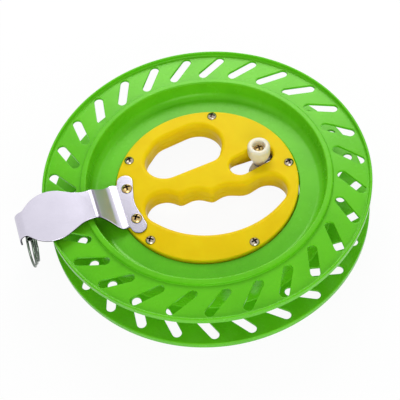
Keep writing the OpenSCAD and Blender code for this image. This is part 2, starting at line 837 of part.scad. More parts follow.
module lock_knob_front() {
    color("ivory")
        on_lock()
            lock_knob(knob_top);
}

module lock_knob_rear() {
    color("ivory")
        on_lock()
            mirror([0, 0, 1])
                lock_knob(knob_rear_top);
}

module lock_bolt() {
    color("slategray")
        on_lock()
            translate([0, 0, -bolt_t / 2])
                difference() {
                    union() {
                        cylinder(d = bolt_eye_d, h = bolt_t);
                        translate([0, -bolt_w / 2, 0])
                            cube([bolt_tip_r - lock_r, bolt_w, bolt_t]);
                    }
                    translate([0, 0, -over])
                        cylinder(d = screw_d + 2 * free_fit, h = bolt_t + 2 * over);
                }
}

// The lock screw's head and nut sit in the two counterbores
lock_seat = knob_top - counterbore_h;
lock_rear_seat = knob_rear_top - counterbore_h;

module lock_screw() {
    color("goldenrod")
        on_lock()
            translate([0, 0, lock_seat])
                pan_screw(screw_d, screw_head_d, screw_head_h, lock_seat + lock_rear_seat + nut_h);
}

module lock_nut() {
    color("goldenrod")
        on_lock()
            translate([0, 0, -lock_rear_seat - nut_h])
                hex_nut(nut_af, nut_h, screw_d);
}

wheel_front_half();
wheel_rear_half();
wheel_screws();
grip_front_shell();
grip_rear_shell();
grip_screws();
bearing_sleeves();
bearing_inner_rings();
bearing_ring(1);  // bearing_ring_1
bearing_ring(2);  // bearing_ring_2
bearing_ring(3);  // bearing_ring_3
bearing_ring(4);  // bearing_ring_4
bearing_ring(5);  // bearing_ring_5
ball_set(1);  // ball_set_1
ball_set(2);  // ball_set_2
ball_set(3);  // ball_set_3
ball_set(4);  // ball_set_4
ball_set(5);  // ball_set_5
line_guide();
guide_screws();
guide_nuts();
eyelet_ferrule();
line_eyelet();
lock_knob_front();
lock_knob_rear();
lock_bolt();
lock_screw();
lock_nut();
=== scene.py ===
import json
import math

import bmesh
import bpy
from mathutils import Matrix, Vector
from mathutils.geometry import delaunay_2d_cdt


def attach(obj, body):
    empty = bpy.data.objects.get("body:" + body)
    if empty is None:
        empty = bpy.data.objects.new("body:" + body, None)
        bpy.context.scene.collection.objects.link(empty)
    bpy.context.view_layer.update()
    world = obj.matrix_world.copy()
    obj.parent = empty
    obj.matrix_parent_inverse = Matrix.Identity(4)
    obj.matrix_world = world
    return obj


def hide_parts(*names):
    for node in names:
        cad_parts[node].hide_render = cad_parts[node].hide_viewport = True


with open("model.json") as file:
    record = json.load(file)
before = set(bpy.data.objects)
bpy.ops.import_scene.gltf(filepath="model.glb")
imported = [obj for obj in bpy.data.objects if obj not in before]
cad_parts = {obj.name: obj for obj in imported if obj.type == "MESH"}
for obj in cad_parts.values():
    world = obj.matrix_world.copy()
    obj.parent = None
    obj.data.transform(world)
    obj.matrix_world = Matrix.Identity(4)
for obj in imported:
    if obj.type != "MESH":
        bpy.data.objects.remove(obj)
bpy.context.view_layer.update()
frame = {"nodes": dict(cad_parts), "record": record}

# Sizes are in millimetres and angles in degrees, as in the part's source
MM = 0.001

# Wheel
WHEEL_R = 110.0
WHEEL_W = 37.0
MID = WHEEL_W / 2
LIP_W = 1.6
LIP_H = 3.0
FLANGE_T = 2.0
FLANGE_FACE = MID - LIP_H
FLANGE_IN = FLANGE_FACE - FLANGE_T
DRUM_R = 84.0
DRUM_WALL = 3.5
BEAD_R = DRUM_R - DRUM_WALL
BEAD_W = 4.0
BEAD_H = 2.2
BEAD_TOP = FLANGE_FACE + BEAD_H
RECESS_DRAFT = 2.0
RECESS_R = BEAD_R - RECESS_DRAFT
COVE_R = 5.0
HUB_HALF = 5.5
SLOT_COUNT = 27
SLOT_R = 3.1
SLOT_OUT_R = 103.3
SLOT_IN_R = 90.4
SLOT_LEAN = 6.7
FRONT_SLOT_PHASE = 92.6
REAR_SLOT_PHASE = 266.6
WHEEL_SCREWS = 8
WHEEL_SCREW_R = 75.675

# Grip
GRIP_R = 61.9
GRIP_HALF = 7.8
RUN_GAP = 0.5
BORE_R = GRIP_R + RUN_GAP
SHELL_WALL = 2.2
SHELL_CEILING = GRIP_HALF - SHELL_WALL
RIM_WALL = 2.0
HOLE_ROUND = 3.0
LOCK_ROUND = 2.0
LOCK_REAR_ROUND = 1.2
LOCK_COLLAR = 1.6
GUIDE_BOSS_R = 5.0
PILOT_FLOOR = 1.2
FINGER_R = 12.4
FINGER_SPAN = 70.7
FINGER_STEP = 22.0
FINGER_X = 5.1
FINGER_Y = -13.5
FINGER_TILT = 3.7
FINGER_DROP = 27.7
FINGER_LOW_R = 60.26
FINGER_SAG = 2.5
FINGER_SAG_MORE = 0.6
NARROW_BUMP_R = 5.1
WIDE_BUMP_R = 13.1
THUMB_HOLE = [(3.1, 26.8, 8.4, 1), (-4.1, 33.5, 17.2, 1), (-21.1, 28.6, 15.4, 1), (-26.6, 22.8, 14.1, 1)]

# Bearings, which also place the grip's screws
BEARINGS = 5
BEARING_R = 57.7
BEARING_PHASE = 9.1
TRACK_R = 66.25
TRACK_HALF = 3.4
POCKET_R = 8.9

# Lock
LOCK_ANGLE = 25.6
LOCK_R = 41.8
LOCK_SLOT_IN = 26.713
LOCK_SLOT_OUT = 43.987
LOCK_SLOT_R = 7.5
LOCK_REAR_MORE = 3.4
BOLT_HALF_T = 0.9
CHANNEL_HALF_W = 2.8
CHANNEL_HALF_T = 1.2
NOTCHES = 24
NOTCH_DEPTH = 3.4
KNOB_R = 7.7
KNOB_WAIST_R = 4.0
KNOB_TAPER_H = 9.5
KNOB_H = 10.5
KNOB_TOP = GRIP_HALF + KNOB_H
KNOB_REAR_H = 8.4
KNOB_REAR_TOP = GRIP_HALF + KNOB_REAR_H
COUNTERBORE_R = 4.3
COUNTERBORE_H = 3.4
LOCK_NUT_H = 2.4

# Line guide: u runs out from the wheel axis, v across it
GUIDE_ANGLE = 192.0
GUIDE_T = 1.2
GUIDE_FOOT_Z = MID + GRIP_HALF
GUIDE_GAP = 1.8
GUIDE_FLAT_Z = WHEEL_W + GUIDE_GAP
GUIDE_REACH = 129.3
GUIDE_SCREW_U = 52.56
GUIDE_SCREW_V = 12.8
GUIDE_DISC_U = 105.5
GUIDE_DISC_R = 19.8
GUIDE_WAIST = 11.3
GUIDE_TAB = 9.7
GUIDE_DROP = 9.3
GUIDE_LOW_BEND = 11.0
GUIDE_BEND = 4.5
GUIDE_NUT_AF = 7.0
GUIDE_NUT_H = 3.2
RAMP_FOOT = 6.1
RAMP_IN = GUIDE_SCREW_U + RAMP_FOOT
RAMP_CLEAR = 2.5
RAMP_OUT = BEAD_R - RAMP_CLEAR
TAB_BEND = 4.6
TAB_HOLLOW_R = 3.0
TAB_CORNER_R = 1.0
NECK_R = 20.0
FOOT_LOBE_R = 5.4
FOOT_LOBE_V = 18.8
FOOT_SHOULDER_R = 4.0
FOOT_SHOULDER = 9.4
FOOT_SHOULDER_U = GUIDE_SCREW_U + FOOT_SHOULDER
FOOT_NOTCH_R = 1.2
FOOT_HOLLOW_R = 25.0
FOOT_EDGE = 2.1
FOOT_HOLLOW_U = GUIDE_SCREW_U - FOOT_EDGE - FOOT_HOLLOW_R
BELT_SLACK = 1.02

# Eyelet
WIRE_R = 0.8
FERRULE_R = 2.6
FERRULE_LIP = 0.7
FERRULE_MOUTH = 1.0
FERRULE_LEN = 16.0
FERRULE_BACK = 0.9
FERRULE_U = GUIDE_REACH - GUIDE_T - TAB_BEND - FERRULE_BACK
FERRULE_Z = GUIDE_FLAT_Z - FERRULE_R
LEG_LEN = 4.0
LEG_V = -FERRULE_LEN / 2 - 2 * WIRE_R
LEG_BEND = 4.5
EYELET_R = 15.0
EYELET_TURNS = 2.625
EYELET_PITCH = 1.3
EYELET_FAN = 1.7
EYELET_TAPER = 2 * WIRE_R
EYELET_YAW = 4.0
EYELET_V = 2.6
LOOP_OUT = 0.2
LOOP_GAP = 0.4
LOOP_U = FERRULE_U + LOOP_OUT
LOOP_Z = FERRULE_Z - FERRULE_R - LOOP_GAP - WIRE_R - EYELET_R

# Screws: (head diameter, head height, thread diameter)
SMALL_SCREW = (6.6, 2.0, 3.0)
GUIDE_SCREW = (7.4, 2.4, 4.0)
FREE_FIT = 0.15
SCREW_SIDES = 48

# How far a cutter runs past the face that it opens
OVER = 1.0

# Camera, worked out from the rims in the photograph
PHOTO_WIDTH = 400
CAMERA_BACK = 415.71
CAMERA_UP = 562.68
CAMERA_ROLL = -6.573
FOCAL_PIXELS = 1050.37
SENSOR_MM = 36.0
SHIFT_X = -0.01422
SHIFT_Y = -0.0673


def polar(radius, angle, z=0.0):
    """A point at a distance and an angle from the wheel axis."""
    a = math.radians(angle)
    return (radius * math.cos(a), radius * math.sin(a), z)


def turned(u, v, angle):
    """A point (u, v) turned about the wheel axis."""
    a = math.radians(angle)
    return (u * math.cos(a) - v * math.sin(a), u * math.sin(a) + v * math.cos(a))


def fan(start, turn, steps):
    """Angles from start through turn, in equal steps, both ends included."""
    return [start + turn * k / steps for k in range(steps + 1)]


# Outlines that run round circles like a belt: each circle is (x, y, radius, side)

def signed(circle):
    return circle[2] * circle[3]


def leave_angle(a, b):
    """Angle at which the belt leaves circle a towards circle b."""
    gap = Vector((b[0] - a[0], b[1] - a[1]))
    return math.atan2(gap.y, gap.x) - math.acos((signed(a) - signed(b)) / gap.length)


def belt(circles, grow=0.0, step=6.0):
    """Points along the belt, moved outward by grow, with arcs in steps of that many degrees."""
    points = []
    for i, here in enumerate(circles):
        start = leave_angle(circles[i - 1], here)
        end = leave_angle(here, circles[(i + 1) % len(circles)])
        turn = (end - start) % math.tau if here[3] > 0 else -((start - end) % math.tau)
        steps = max(1, math.ceil(abs(turn) / math.radians(step)))
        radius = signed(here) + grow
        for angle in fan(start, turn, steps):
            points.append((here[0] + radius * math.cos(angle), here[1] + radius * math.sin(angle)))
    return points


def finger_circle(u, v, radius, side=1):
    """A circle of the finger hole, placed along the hole's own tilted line."""
    x, y = turned(u, v, FINGER_TILT)
    return (FINGER_X + x, FINGER_Y + y, radius, side)


def bump_between(a, b, radius):
    """A circle outside the belt that rests between two circles inside it."""
    gap = Vector((b[0] - a[0], b[1] - a[1]))
    from_a = (a[2] + radius) * BELT_SLACK
    from_b = (b[2] + radius) * BELT_SLACK
    reach = (gap.length ** 2 + from_a ** 2 - from_b ** 2) / (2 * gap.length)
    rest = math.sqrt(from_a ** 2 - reach ** 2)
    along = gap.normalized()
    return (a[0] + along.x * reach + along.y * rest, a[1] + along.y * reach - along.x * rest, radius, -1)


def finger_hole():
    left = -FINGER_SPAN / 2
    first = finger_circle(left, 0, FINGER_R)
    second = finger_circle(left + FINGER_STEP, -FINGER_SAG, FINGER_R)
    third = finger_circle(left + 2 * FINGER_STEP, -FINGER_SAG - FINGER_SAG_MORE, FINGER_R)
    fourth = finger_circle(-left, 0, FINGER_R)
    low = finger_circle(0, FINGER_LOW_R - FINGER_DROP, FINGER_LOW_R)
    return [fourth, bump_between(fourth, third, WIDE_BUMP_R), third,
            bump_between(third, second, NARROW_BUMP_R), second,
            bump_between(second, first, NARROW_BUMP_R), first, low]


def polar_circle(distance, angle, radius):
    """A circle inside a belt, at a distance and an angle from the wheel axis."""
    x, y, _ = polar(distance, angle)
    return (x, y, radius, 1)


def lock_hole(more=0.0):
    """Slot of the lock knob, with a wider inner end where more is given."""
    return [polar_circle(LOCK_SLOT_OUT, LOCK_ANGLE, LOCK_SLOT_R),
            polar_circle(LOCK_SLOT_IN, LOCK_ANGLE, LOCK_SLOT_R + more)]


def rounded(path, steps=4):
    """An open path of (x, y, radius) with each inner corner rounded to its radius."""
    points = [Vector(path[0][:2])]
    for before, here, after in zip(path, path[1:], path[2:]):
        corner = Vector(here[:2])
        back = (Vector(before[:2]) - corner).normalized()
        ahead = (Vector(after[:2]) - corner).normalized()
        if here[2] == 0:
            points.append(corner)
            continue
        half = back.angle(ahead) / 2
        start = corner + back * here[2] / math.tan(half)
        centre = corner + (back + ahead).normalized() * here[2] / math.sin(half)
        arm = start - centre
        turn = back.angle_signed(-ahead)
        for k in range(steps + 1):
            points.append(centre + Matrix.Rotation(-turn * k / steps, 2) @ arm)
    points.append(Vector(path[-1][:2]))
    return [(p.x, p.y) for p in points]


# Closed meshes

class Outline:
    """A closed outline that can tell whether a point lies inside it."""

    def __init__(self, points):
        self.points = [(p[0], p[1]) for p in points]
        xs = [p[0] for p in self.points]
        ys = [p[1] for p in self.points]
        self.box = (min(xs), max(xs), min(ys), max(ys))

    def holds(self, x, y):
        x0, x1, y0, y1 = self.box
        if not (x0 < x < x1 and y0 < y < y1):
            return False
        inside = False
        ax, ay = self.points[-1]
        for bx, by in self.points:
            if (ay > y) != (by > y) and x < ax + (y - ay) * (bx - ax) / (by - ay):
                inside = not inside
            ax, ay = bx, by
        return inside


def triangles(outer, holes=(), inner=()):
    """Triangles inside one outline and outside the others, numbered through all points in turn."""
    flat = []
    edges = []
    for loop in (outer, *holes):
        first = len(flat)
        flat.extend(Vector((p[0], p[1])) for p in loop)
        edges.extend((first + i, first + (i + 1) % len(loop)) for i in range(len(loop)))
    flat.extend(Vector(p) for p in inner)
    points, _, faces, sources, _, _ = delaunay_2d_cdt(flat, edges, [], 0, 1e-6)
    outside = Outline(outer)
    gaps = [Outline(hole) for hole in holes]
    kept = []
    for face in faces:
        x = sum(points[i].x for i in face) / len(face)
        y = sum(points[i].y for i in face) / len(face)
        if outside.holds(x, y) and not any(gap.holds(x, y) for gap in gaps):
            kept.append(tuple(sources[i][0] for i in face))
    return kept


class Skin:
    """The points, in millimetres, and the faces of one piece."""

    def __init__(self):
        self.points = []
        self.faces = []
        self.shades = {}
        self.point_shades = {}

    def ring(self, points, shades=()):
        first = len(self.points)
        self.points.extend(Vector(p) for p in points)
        self.point_shades.update((first + i, value) for i, value in enumerate(shades))
        return list(range(first, len(self.points)))

    def band(self, a, b):
        for i in range(len(a)):
            j = (i + 1) % len(a)
            self.faces.append((a[i], a[j], b[j], b[i]))

    def bands(self, rings):
        for a, b in zip(rings, rings[1:]):
            self.band(a, b)

    def cap(self, ring):
        self.faces.append(tuple(ring))

    def plate(self, outer, holes=()):
        """A face inside one ring and outside the others, all of them at one height."""
        loops = [[self.points[i] for i in ring] for ring in (outer, *holes)]
        numbers = [i for ring in (outer, *holes) for i in ring]
        for face in triangles(loops[0], loops[1:]):
            self.faces.append(tuple(numbers[i] for i in face))

    def tint(self, first, value):
        """Marks the faces from number first on with painted shade, by a share from 0 to 1."""
        for i in range(first, len(self.faces)):
            self.shades[i] = value

    def move(self, matrix, first=0):
        for i in range(first, len(self.points)):
            self.points[i] = matrix @ self.points[i]


def circle(radius, z, angles):
    return [polar(radius, a, z) for a in angles]


def even(count, start=0.0):
    return [start + 360 * i / count for i in range(count)]


def circle_at(x, y, radius, angles):
    return [(x + p[0], y + p[1]) for p in circle(radius, 0, angles)]


def turn_path(skin, path, count, closed=False):
    """Turns a path of (radius, z) round the z axis; a closed path joins its ends."""
    rings = [skin.ring(circle(r, z, even(count))) for r, z in path]
    skin.bands(rings)
    if closed:
        skin.band(rings[-1], rings[0])
    return rings


def at(x, y, z, turn=0.0, up=1):
    """Matrix that places a form drawn about the z axis, mirrored down where up is -1."""
    flip = Matrix.Diagonal((1, 1, up, 1))
    return Matrix.Translation((x, y, z)) @ Matrix.Rotation(math.radians(turn), 4, "Z") @ flip


def on_guide(u, v, z):
    """The place of a point that is given along, across and above the line guide."""
    return Vector((*turned(u, v, GUIDE_ANGLE), z))


def mesh_of(name, skin):
    """Mesh of a skin, in metres, with doubled points joined and its faces turned outward."""
    mesh = bpy.data.meshes.new(name)
    mesh.from_pydata([p * MM for p in skin.points], [], skin.faces)
    # The shade attribute carries painted shade, by a share from 0 to 1
    for domain, shades in (("FACE", skin.shades), ("POINT", skin.point_shades)):
        if shades:
            shade = mesh.attributes.new("shade", "FLOAT", domain)
            for i, value in shades.items():
                shade.data[i].value = value
    clean(mesh)
    return mesh


def clean(mesh):
    bm = bmesh.new()
    bm.from_mesh(mesh)
    bmesh.ops.remove_doubles(bm, verts=bm.verts, dist=1e-6)
    bmesh.ops.dissolve_degenerate(bm, edges=bm.edges, dist=1e-6)
    bmesh.ops.recalc_face_normals(bm, faces=bm.faces)
    bm.to_mesh(mesh)
    bm.free()


def object_of(name, mesh):
    obj = bpy.data.objects.new(name, mesh)
    bpy.context.scene.collection.objects.link(obj)
    return obj


def piece_of(name, skin):
    return object_of(name, mesh_of(name, skin))


def smooth(obj, sharp_angle=38.0):
    """Smooth shading with crisp corners, in which large flat faces stay flat."""
    obj.data.shade_smooth()
    obj.data.set_sharp_from_angle(angle=math.radians(sharp_angle))
    weighted = obj.modifiers.new("even_shading", "WEIGHTED_NORMAL")
    weighted.keep_sharp = True


def carve(obj, cutter):
    """Cuts one closed mesh out of another."""
    tool = object_of(cutter.name, cutter)
    cut = obj.modifiers.new("cut", "BOOLEAN")
    cut.operation = "DIFFERENCE"
    cut.solver = "EXACT"
    cut.object = tool
    bpy.context.view_layer.update()
    graph = bpy.context.evaluated_depsgraph_get()
    carved = bpy.data.meshes.new_from_object(obj.evaluated_get(graph))
    obj.modifiers.clear()
    obj.data = carved
    bpy.data.objects.remove(tool)
    clean(obj.data)


def prism(skin, points, low, high):
    """A straight block over an outline, used as a cutter."""
    rings = [skin.ring([(p[0], p[1], z) for p in points]) for z in (low, high)]
    skin.band(*rings)
    skin.cap(rings[0])
    skin.cap(rings[1])


def finish_piece(obj, body, nodes, slot, finish):
    """Shades a piece, gives it its slot's material, ties it to its body and hides the CAD nodes that it
    stands for.
    """
    smooth(obj)
    obj.data.materials.clear()
    obj.data.materials.append(finish[slot])
    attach(obj, body)
    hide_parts(*nodes)


# Wheel

LIP_EDGE = 0.7
LIP_ROOT = 1.1
RIM_EDGE = 0.8
BEAD_EDGE = 1.0
BEAD_ROOT = 0.55
DRUM_ROOT = 1.0
SEAM = 0.3
TRACK_EDGE = 0.3
HUB_EDGE = 0.6
SLOT_EDGE = 0.4


def hub_columns():
    """Angles round the hub, each with whether it lies in a lock notch; notch sides come twice."""
    half = math.degrees(CHANNEL_HALF_W / TRACK_R)
    sector = 360 / NOTCHES
    columns = []
    for i in range(NOTCHES):
        middle = LOCK_ANGLE + i * sector
        columns.append((middle - half, False))
        columns.extend((a, True) for a in fan(middle - half, 2 * half, 3))
        columns.extend((a, False) for a in fan(middle + half, sector - 2 * half, 7)[:-1])
    return columns


def rim_path():
    """Section from the flange's face over the lip to the groove side of the flange."""
    return rounded([
        (WHEEL_R - LIP_W - LIP_ROOT, FLANGE_FACE, 0), (WHEEL_R - LIP_W, FLANGE_FACE, LIP_ROOT),
        (WHEEL_R - LIP_W, MID, LIP_EDGE), (WHEEL_R, MID, LIP_EDGE),
        (WHEEL_R, FLANGE_IN, RIM_EDGE), (WHEEL_R - 2 * RIM_EDGE, FLANGE_IN, 0)])


def hub_paths():
    """Section from the flange's groove side round the drum and hub to its face, without and with a notch."""
    drum = rounded([
        (DRUM_R + DRUM_ROOT, FLANGE_IN, 0), (DRUM_R, FLANGE_IN, DRUM_ROOT), (DRUM_R, 0, SEAM),
        (DRUM_R - 2 * SEAM, 0, 0)])
    plain = [(TRACK_R, 0), (TRACK_R, CHANNEL_HALF_T), (TRACK_R, CHANNEL_HALF_T)]
    notched = [(TRACK_R + NOTCH_DEPTH, 0), (TRACK_R + NOTCH_DEPTH, CHANNEL_HALF_T), plain[2]]
    recess = rounded([
        (TRACK_R, TRACK_HALF, 0), (BORE_R, TRACK_HALF, TRACK_EDGE), (BORE_R, HUB_HALF, HUB_EDGE),
        (RECESS_R, HUB_HALF, COVE_R), (BEAD_R, BEAD_TOP, BEAD_EDGE), (BEAD_R + BEAD_W, BEAD_TOP, BEAD_EDGE),
        (BEAD_R + BEAD_W, FLANGE_FACE, BEAD_ROOT), (BEAD_R + BEAD_W + BEAD_ROOT, FLANGE_FACE, 0)], 6)
    return drum + plain + recess, drum + notched + recess


def round_edge(radius, steps):
    """Steps round the edge of a hole, from its face inward, as (growth of the hole, depth)."""
    angles = [math.radians(a) for a in fan(90, -90, steps)]
    return [(radius * (1 - math.cos(a)), radius * (1 - math.sin(a))) for a in angles]


def hole_wall(skin, circles, path, side, step):
    """Wall of a hole along a path of (growth, height); returns its first and last rings."""
    rings = [skin.ring([(x, y, side * z) for x, y in belt(circles, grow, step)]) for grow, z in path]
    skin.bands(rings)
    return rings[0], rings[-1]


def flange_slot(skin, angle, lean, side):
    """Wall of one slot with rounded edges; returns its rings on the face and the groove side."""
    circles = [polar_circle(SLOT_OUT_R, angle, SLOT_R), polar_circle(SLOT_IN_R, angle + lean, SLOT_R)]
    edge = round_edge(SLOT_EDGE, 3)
    path = [(grow, FLANGE_FACE - depth) for grow, depth in edge]
    path += [(grow, FLANGE_IN + depth) for grow, depth in reversed(edge)]
    return hole_wall(skin, circles, path, side, 12.0)


def wheel_half(name, side, phase, lean):
    """One half of the wheel; side is 1 for the front half and -1 for the rear half."""
    skin = Skin()
    columns = hub_columns()
    single = [i for i, c in enumerate(columns) if c[0] != columns[i - 1][0]]
    angles = [columns[i][0] for i in single]
    rim = [skin.ring(circle(r, side * z, angles)) for r, z in rim_path()]
    skin.bands(rim)
    hub = []
    for (r, z), (notch_r, notch_z) in zip(*hub_paths()):
        points = [polar(notch_r, a, side * notch_z) if cut else polar(r, a, side * z) for a, cut in columns]
        hub.append(skin.ring(points))
    skin.bands(hub)
    slots = [flange_slot(skin, a, lean, side) for a in even(SLOT_COUNT, phase)]
    skin.plate(rim[0], [[hub[-1][i] for i in single]] + [s[0] for s in slots])
    skin.plate(rim[-1], [[hub[0][i] for i in single]] + [s[1] for s in slots])
    skin.move(Matrix.Translation((0, 0, MID)))
    return piece_of(name, skin)


def counterbores():
    """Cutter for the seats of the screws that join the wheel halves, from the rear."""
    skin = Skin()
    head_r = SMALL_SCREW[0] / 2 + FREE_FIT
    low = MID - HUB_HALF - OVER
    high = MID - HUB_HALF + SMALL_SCREW[1] + FREE_FIT
    for a in even(WHEEL_SCREWS, LOCK_ANGLE):
        x, y, _ = polar(WHEEL_SCREW_R, a)
        prism(skin, circle_at(x, y, head_r, even(SCREW_SIDES)), low, high)
    return mesh_of("counterbores", skin)


# Grip

PLATE_EDGE = 0.9
PART_LINE = 0.25


def shell_hole(skin, circles, edge, collar, side):
    """Wall and collar of a hole through one shell; returns its rings on the face and on the ceiling."""
    path = [(grow, GRIP_HALF - depth) for grow, depth in round_edge(edge, 8)]
    path += [(0, PART_LINE), (PART_LINE, 0), (collar, 0), (collar, SHELL_CEILING)]
    return hole_wall(skin, circles, path, side, 4.0)


def shell_boss(skin, x, y, radius, side):
    """A boss that hangs from the shell's ceiling; returns its ring there."""
    rings = []
    for z in (SHELL_CEILING, 0):
        rings.append(skin.ring([(*p, side * z) for p in circle_at(x, y, radius, even(32))]))
    skin.bands(rings)
    skin.cap(rings[1])
    return rings[0]


def guide_screw_places():
    return [on_guide(GUIDE_SCREW_U, v, 0) for v in (-GUIDE_SCREW_V, GUIDE_SCREW_V)]


def grip_shell(name, side):
    """One shell of the grip: a plate with rounded holes, a rim and the collars of its holes."""
    skin = Skin()
    path = rounded([
        (GRIP_R - PLATE_EDGE, GRIP_HALF, 0), (GRIP_R, GRIP_HALF, PLATE_EDGE), (GRIP_R, PART_LINE, 0),
        (GRIP_R - PART_LINE, 0, 0), (GRIP_R - RIM_WALL, 0, 0), (GRIP_R - RIM_WALL, SHELL_CEILING, 0)])
    rim = [skin.ring(circle(r, side * z, even(240))) for r, z in path]
    skin.bands(rim)
    slot = (lock_hole(), LOCK_ROUND) if side > 0 else (lock_hole(LOCK_REAR_MORE), LOCK_REAR_ROUND)
    forms = ((finger_hole(), HOLE_ROUND, SHELL_WALL), (THUMB_HOLE, HOLE_ROUND, SHELL_WALL),
             (*slot, LOCK_COLLAR))
    holes = [shell_hole(skin, circles, edge, collar, side) for circles, edge, collar in forms]
    bosses = [shell_boss(skin, p.x, p.y, GUIDE_BOSS_R, side) for p in guide_screw_places()]
    skin.plate(rim[0], [h[0] for h in holes])
    skin.plate(rim[-1], [h[1] for h in holes] + bosses)
    skin.move(Matrix.Translation((0, 0, MID)))
    return piece_of(name, skin)


def shell_windows():
    """Cutter for the windows that the bearings and the lock bolt reach through."""
    skin = Skin()
    for a in even(BEARINGS, BEARING_PHASE):
        x, y, _ = polar(BEARING_R, a)
        prism(skin, circle_at(x, y, POCKET_R, even(64)), MID - TRACK_HALF, MID + TRACK_HALF)
    corners = []
    far = GRIP_R + OVER
    for r, v in ((LOCK_SLOT_OUT, -1), (far, -1), (far, 1), (LOCK_SLOT_OUT, 1)):
        corners.append(turned(r, v * CHANNEL_HALF_W, LOCK_ANGLE))
    prism(skin, corners, MID - CHANNEL_HALF_T, MID + CHANNEL_HALF_T)
    return mesh_of("shell_windows", skin)


def nut_pockets():
    """Cutter for the six-sided pockets of the guide's nuts in the rear shell."""
    skin = Skin()
    radius = (GUIDE_NUT_AF / 2 + FREE_FIT) / math.cos(math.radians(30))
    for p in guide_screw_places():
        hexagon = circle_at(p.x, p.y, radius, even(6, GUIDE_ANGLE))
        prism(skin, hexagon, MID - GRIP_HALF - OVER, MID - GRIP_HALF + GUIDE_NUT_H)
    return mesh_of("nut_pockets", skin)


# Screws: the dome and the cross recess as shares of the head, and how much painted shade darkens the side of
# a head

DOME_FLATTER = 0.12
DOME_SHARES = (1.0, 0.97, 0.9, 0.8, 0.7)
CROSS_LENGTH = 0.33
CROSS_WIDTH = 0.088
CROSS_DRAFT = 0.78
CROSS_FLOOR = 0.35
HEAD_SIDE_SHADE = 0.7


def cross_outline(half_length, half_width):
    """Outline of a cross recess, with its long edges divided."""
    quarter = [(half_length, -half_width), (half_length, half_width),
               ((half_length + half_width) / 2, half_width), (half_width, half_width),
               (half_width, (half_length + half_width) / 2)]
    points = []
    for k in range(4):
        turn = Matrix.Rotation(math.radians(90 * k), 2)
        points.extend(turn @ Vector(p) for p in quarter)
    return [(p.x, p.y) for p in points]


def pan_screw(skin, sizes, length, place):
    """Adds a screw with a domed head and a cross recess, standing on z = 0 before it is placed."""
    head_d, head_h, thread_d = sizes
    first = len(skin.points)
    radius = ((head_d / 2) ** 2 + head_h ** 2) / (2 * head_h) + head_h * DOME_FLATTER

    def dome(x, y):
        return head_h - radius + math.sqrt(radius ** 2 - x * x - y * y)

    sides = even(SCREW_SIDES)
    rings = [skin.ring(circle(thread_d / 2, -length, sides)), skin.ring(circle(thread_d / 2, 0, sides)),
             skin.ring(circle(head_d / 2, 0, sides))]
    for share in DOME_SHARES:
        r = share * head_d / 2
        rings.append(skin.ring(circle(r, dome(r, 0), sides)))
    # The shank, the head's underside and its side get painted shade and painted dark reflection
    side = len(skin.faces)
    skin.bands(rings[:5])
    skin.tint(side, HEAD_SIDE_SHADE)
    skin.bands(rings[4:])
    skin.cap(rings[0])
    top = cross_outline(head_d * CROSS_LENGTH, head_d * CROSS_WIDTH)
    floor = cross_outline(head_d * CROSS_LENGTH * CROSS_DRAFT, head_d * CROSS_WIDTH * CROSS_DRAFT)
    edge = skin.ring([(x, y, dome(x, y)) for x, y in top])
    foot = skin.ring([(x, y, head_h * CROSS_FLOOR) for x, y in floor])
    skin.plate(rings[-1], [edge])
    # The cross recess is painted fully dark as shade
    recess = len(skin.faces)
    skin.band(edge, foot)
    skin.plate(foot)
    skin.tint(recess, 1.0)
    skin.move(place, first)


def screw_set(name, body, slot, sizes, length, places, finish):
    """Screws of one kind as one piece; each place is a matrix."""
    skin = Skin()
    for place in places:
        pan_screw(skin, sizes, length, place)
    finish_piece(piece_of(name, skin), body, [name], slot, finish)


# Lock knobs

KNOB_FOOT_EDGE = 0.4
KNOB_TAPER_ROUND = 6.0
KNOB_TOP_ROUND = 1.6
COUNTERBORE_EDGE = 0.7
COUNTERBORE_ROOT = 0.5


def lock_knob(name, top, up):
    """A knob with a waist, a domed edge and a counterbore for the screw."""
    skin = Skin()
    bore = SMALL_SCREW[2] / 2 + FREE_FIT
    seat = top - COUNTERBORE_H
    path = rounded([
        (bore, BOLT_HALF_T, 0), (KNOB_WAIST_R, BOLT_HALF_T, KNOB_FOOT_EDGE),
        (KNOB_R, BOLT_HALF_T + KNOB_TAPER_H, KNOB_TAPER_ROUND), (KNOB_R, top, KNOB_TOP_ROUND),
        (COUNTERBORE_R, top, COUNTERBORE_EDGE), (COUNTERBORE_R, seat, COUNTERBORE_ROOT), (bore, seat, 0)], 7)
    turn_path(skin, path, 96, closed=True)
    x, y, _ = polar(LOCK_R, LOCK_ANGLE)
    skin.move(at(x, y, MID, 0, up))
    return piece_of(name, skin)


# Line guide: drawn flat as (s, v), then bent, where s is the length along the middle of the sheet

LOW_R = GUIDE_LOW_BEND + GUIDE_T / 2
HIGH_R = GUIDE_BEND + GUIDE_T / 2
TAB_R = TAB_BEND + GUIDE_T / 2
RAMP_RUN = RAMP_OUT - RAMP_IN
RAMP_RISE = GUIDE_FLAT_Z - GUIDE_FOOT_Z - LOW_R - HIGH_R
RAMP_SPAN = math.hypot(RAMP_RUN, RAMP_RISE)
SLOPE = math.atan2(RAMP_RISE, RAMP_RUN) + math.asin((LOW_R + HIGH_R) / RAMP_SPAN)
RAMP_LEN = math.sqrt(RAMP_SPAN ** 2 - (LOW_R + HIGH_R) ** 2)
S_RAMP = RAMP_IN + LOW_R * SLOPE
S_HIGH = S_RAMP + RAMP_LEN
S_FLAT = S_HIGH + HIGH_R * SLOPE
TAB_U = GUIDE_REACH - GUIDE_T - TAB_BEND
S_TAB = S_FLAT + TAB_U - RAMP_OUT
S_DOWN = S_TAB + TAB_R * math.pi / 2
S_END = S_DOWN + GUIDE_DROP - TAB_BEND


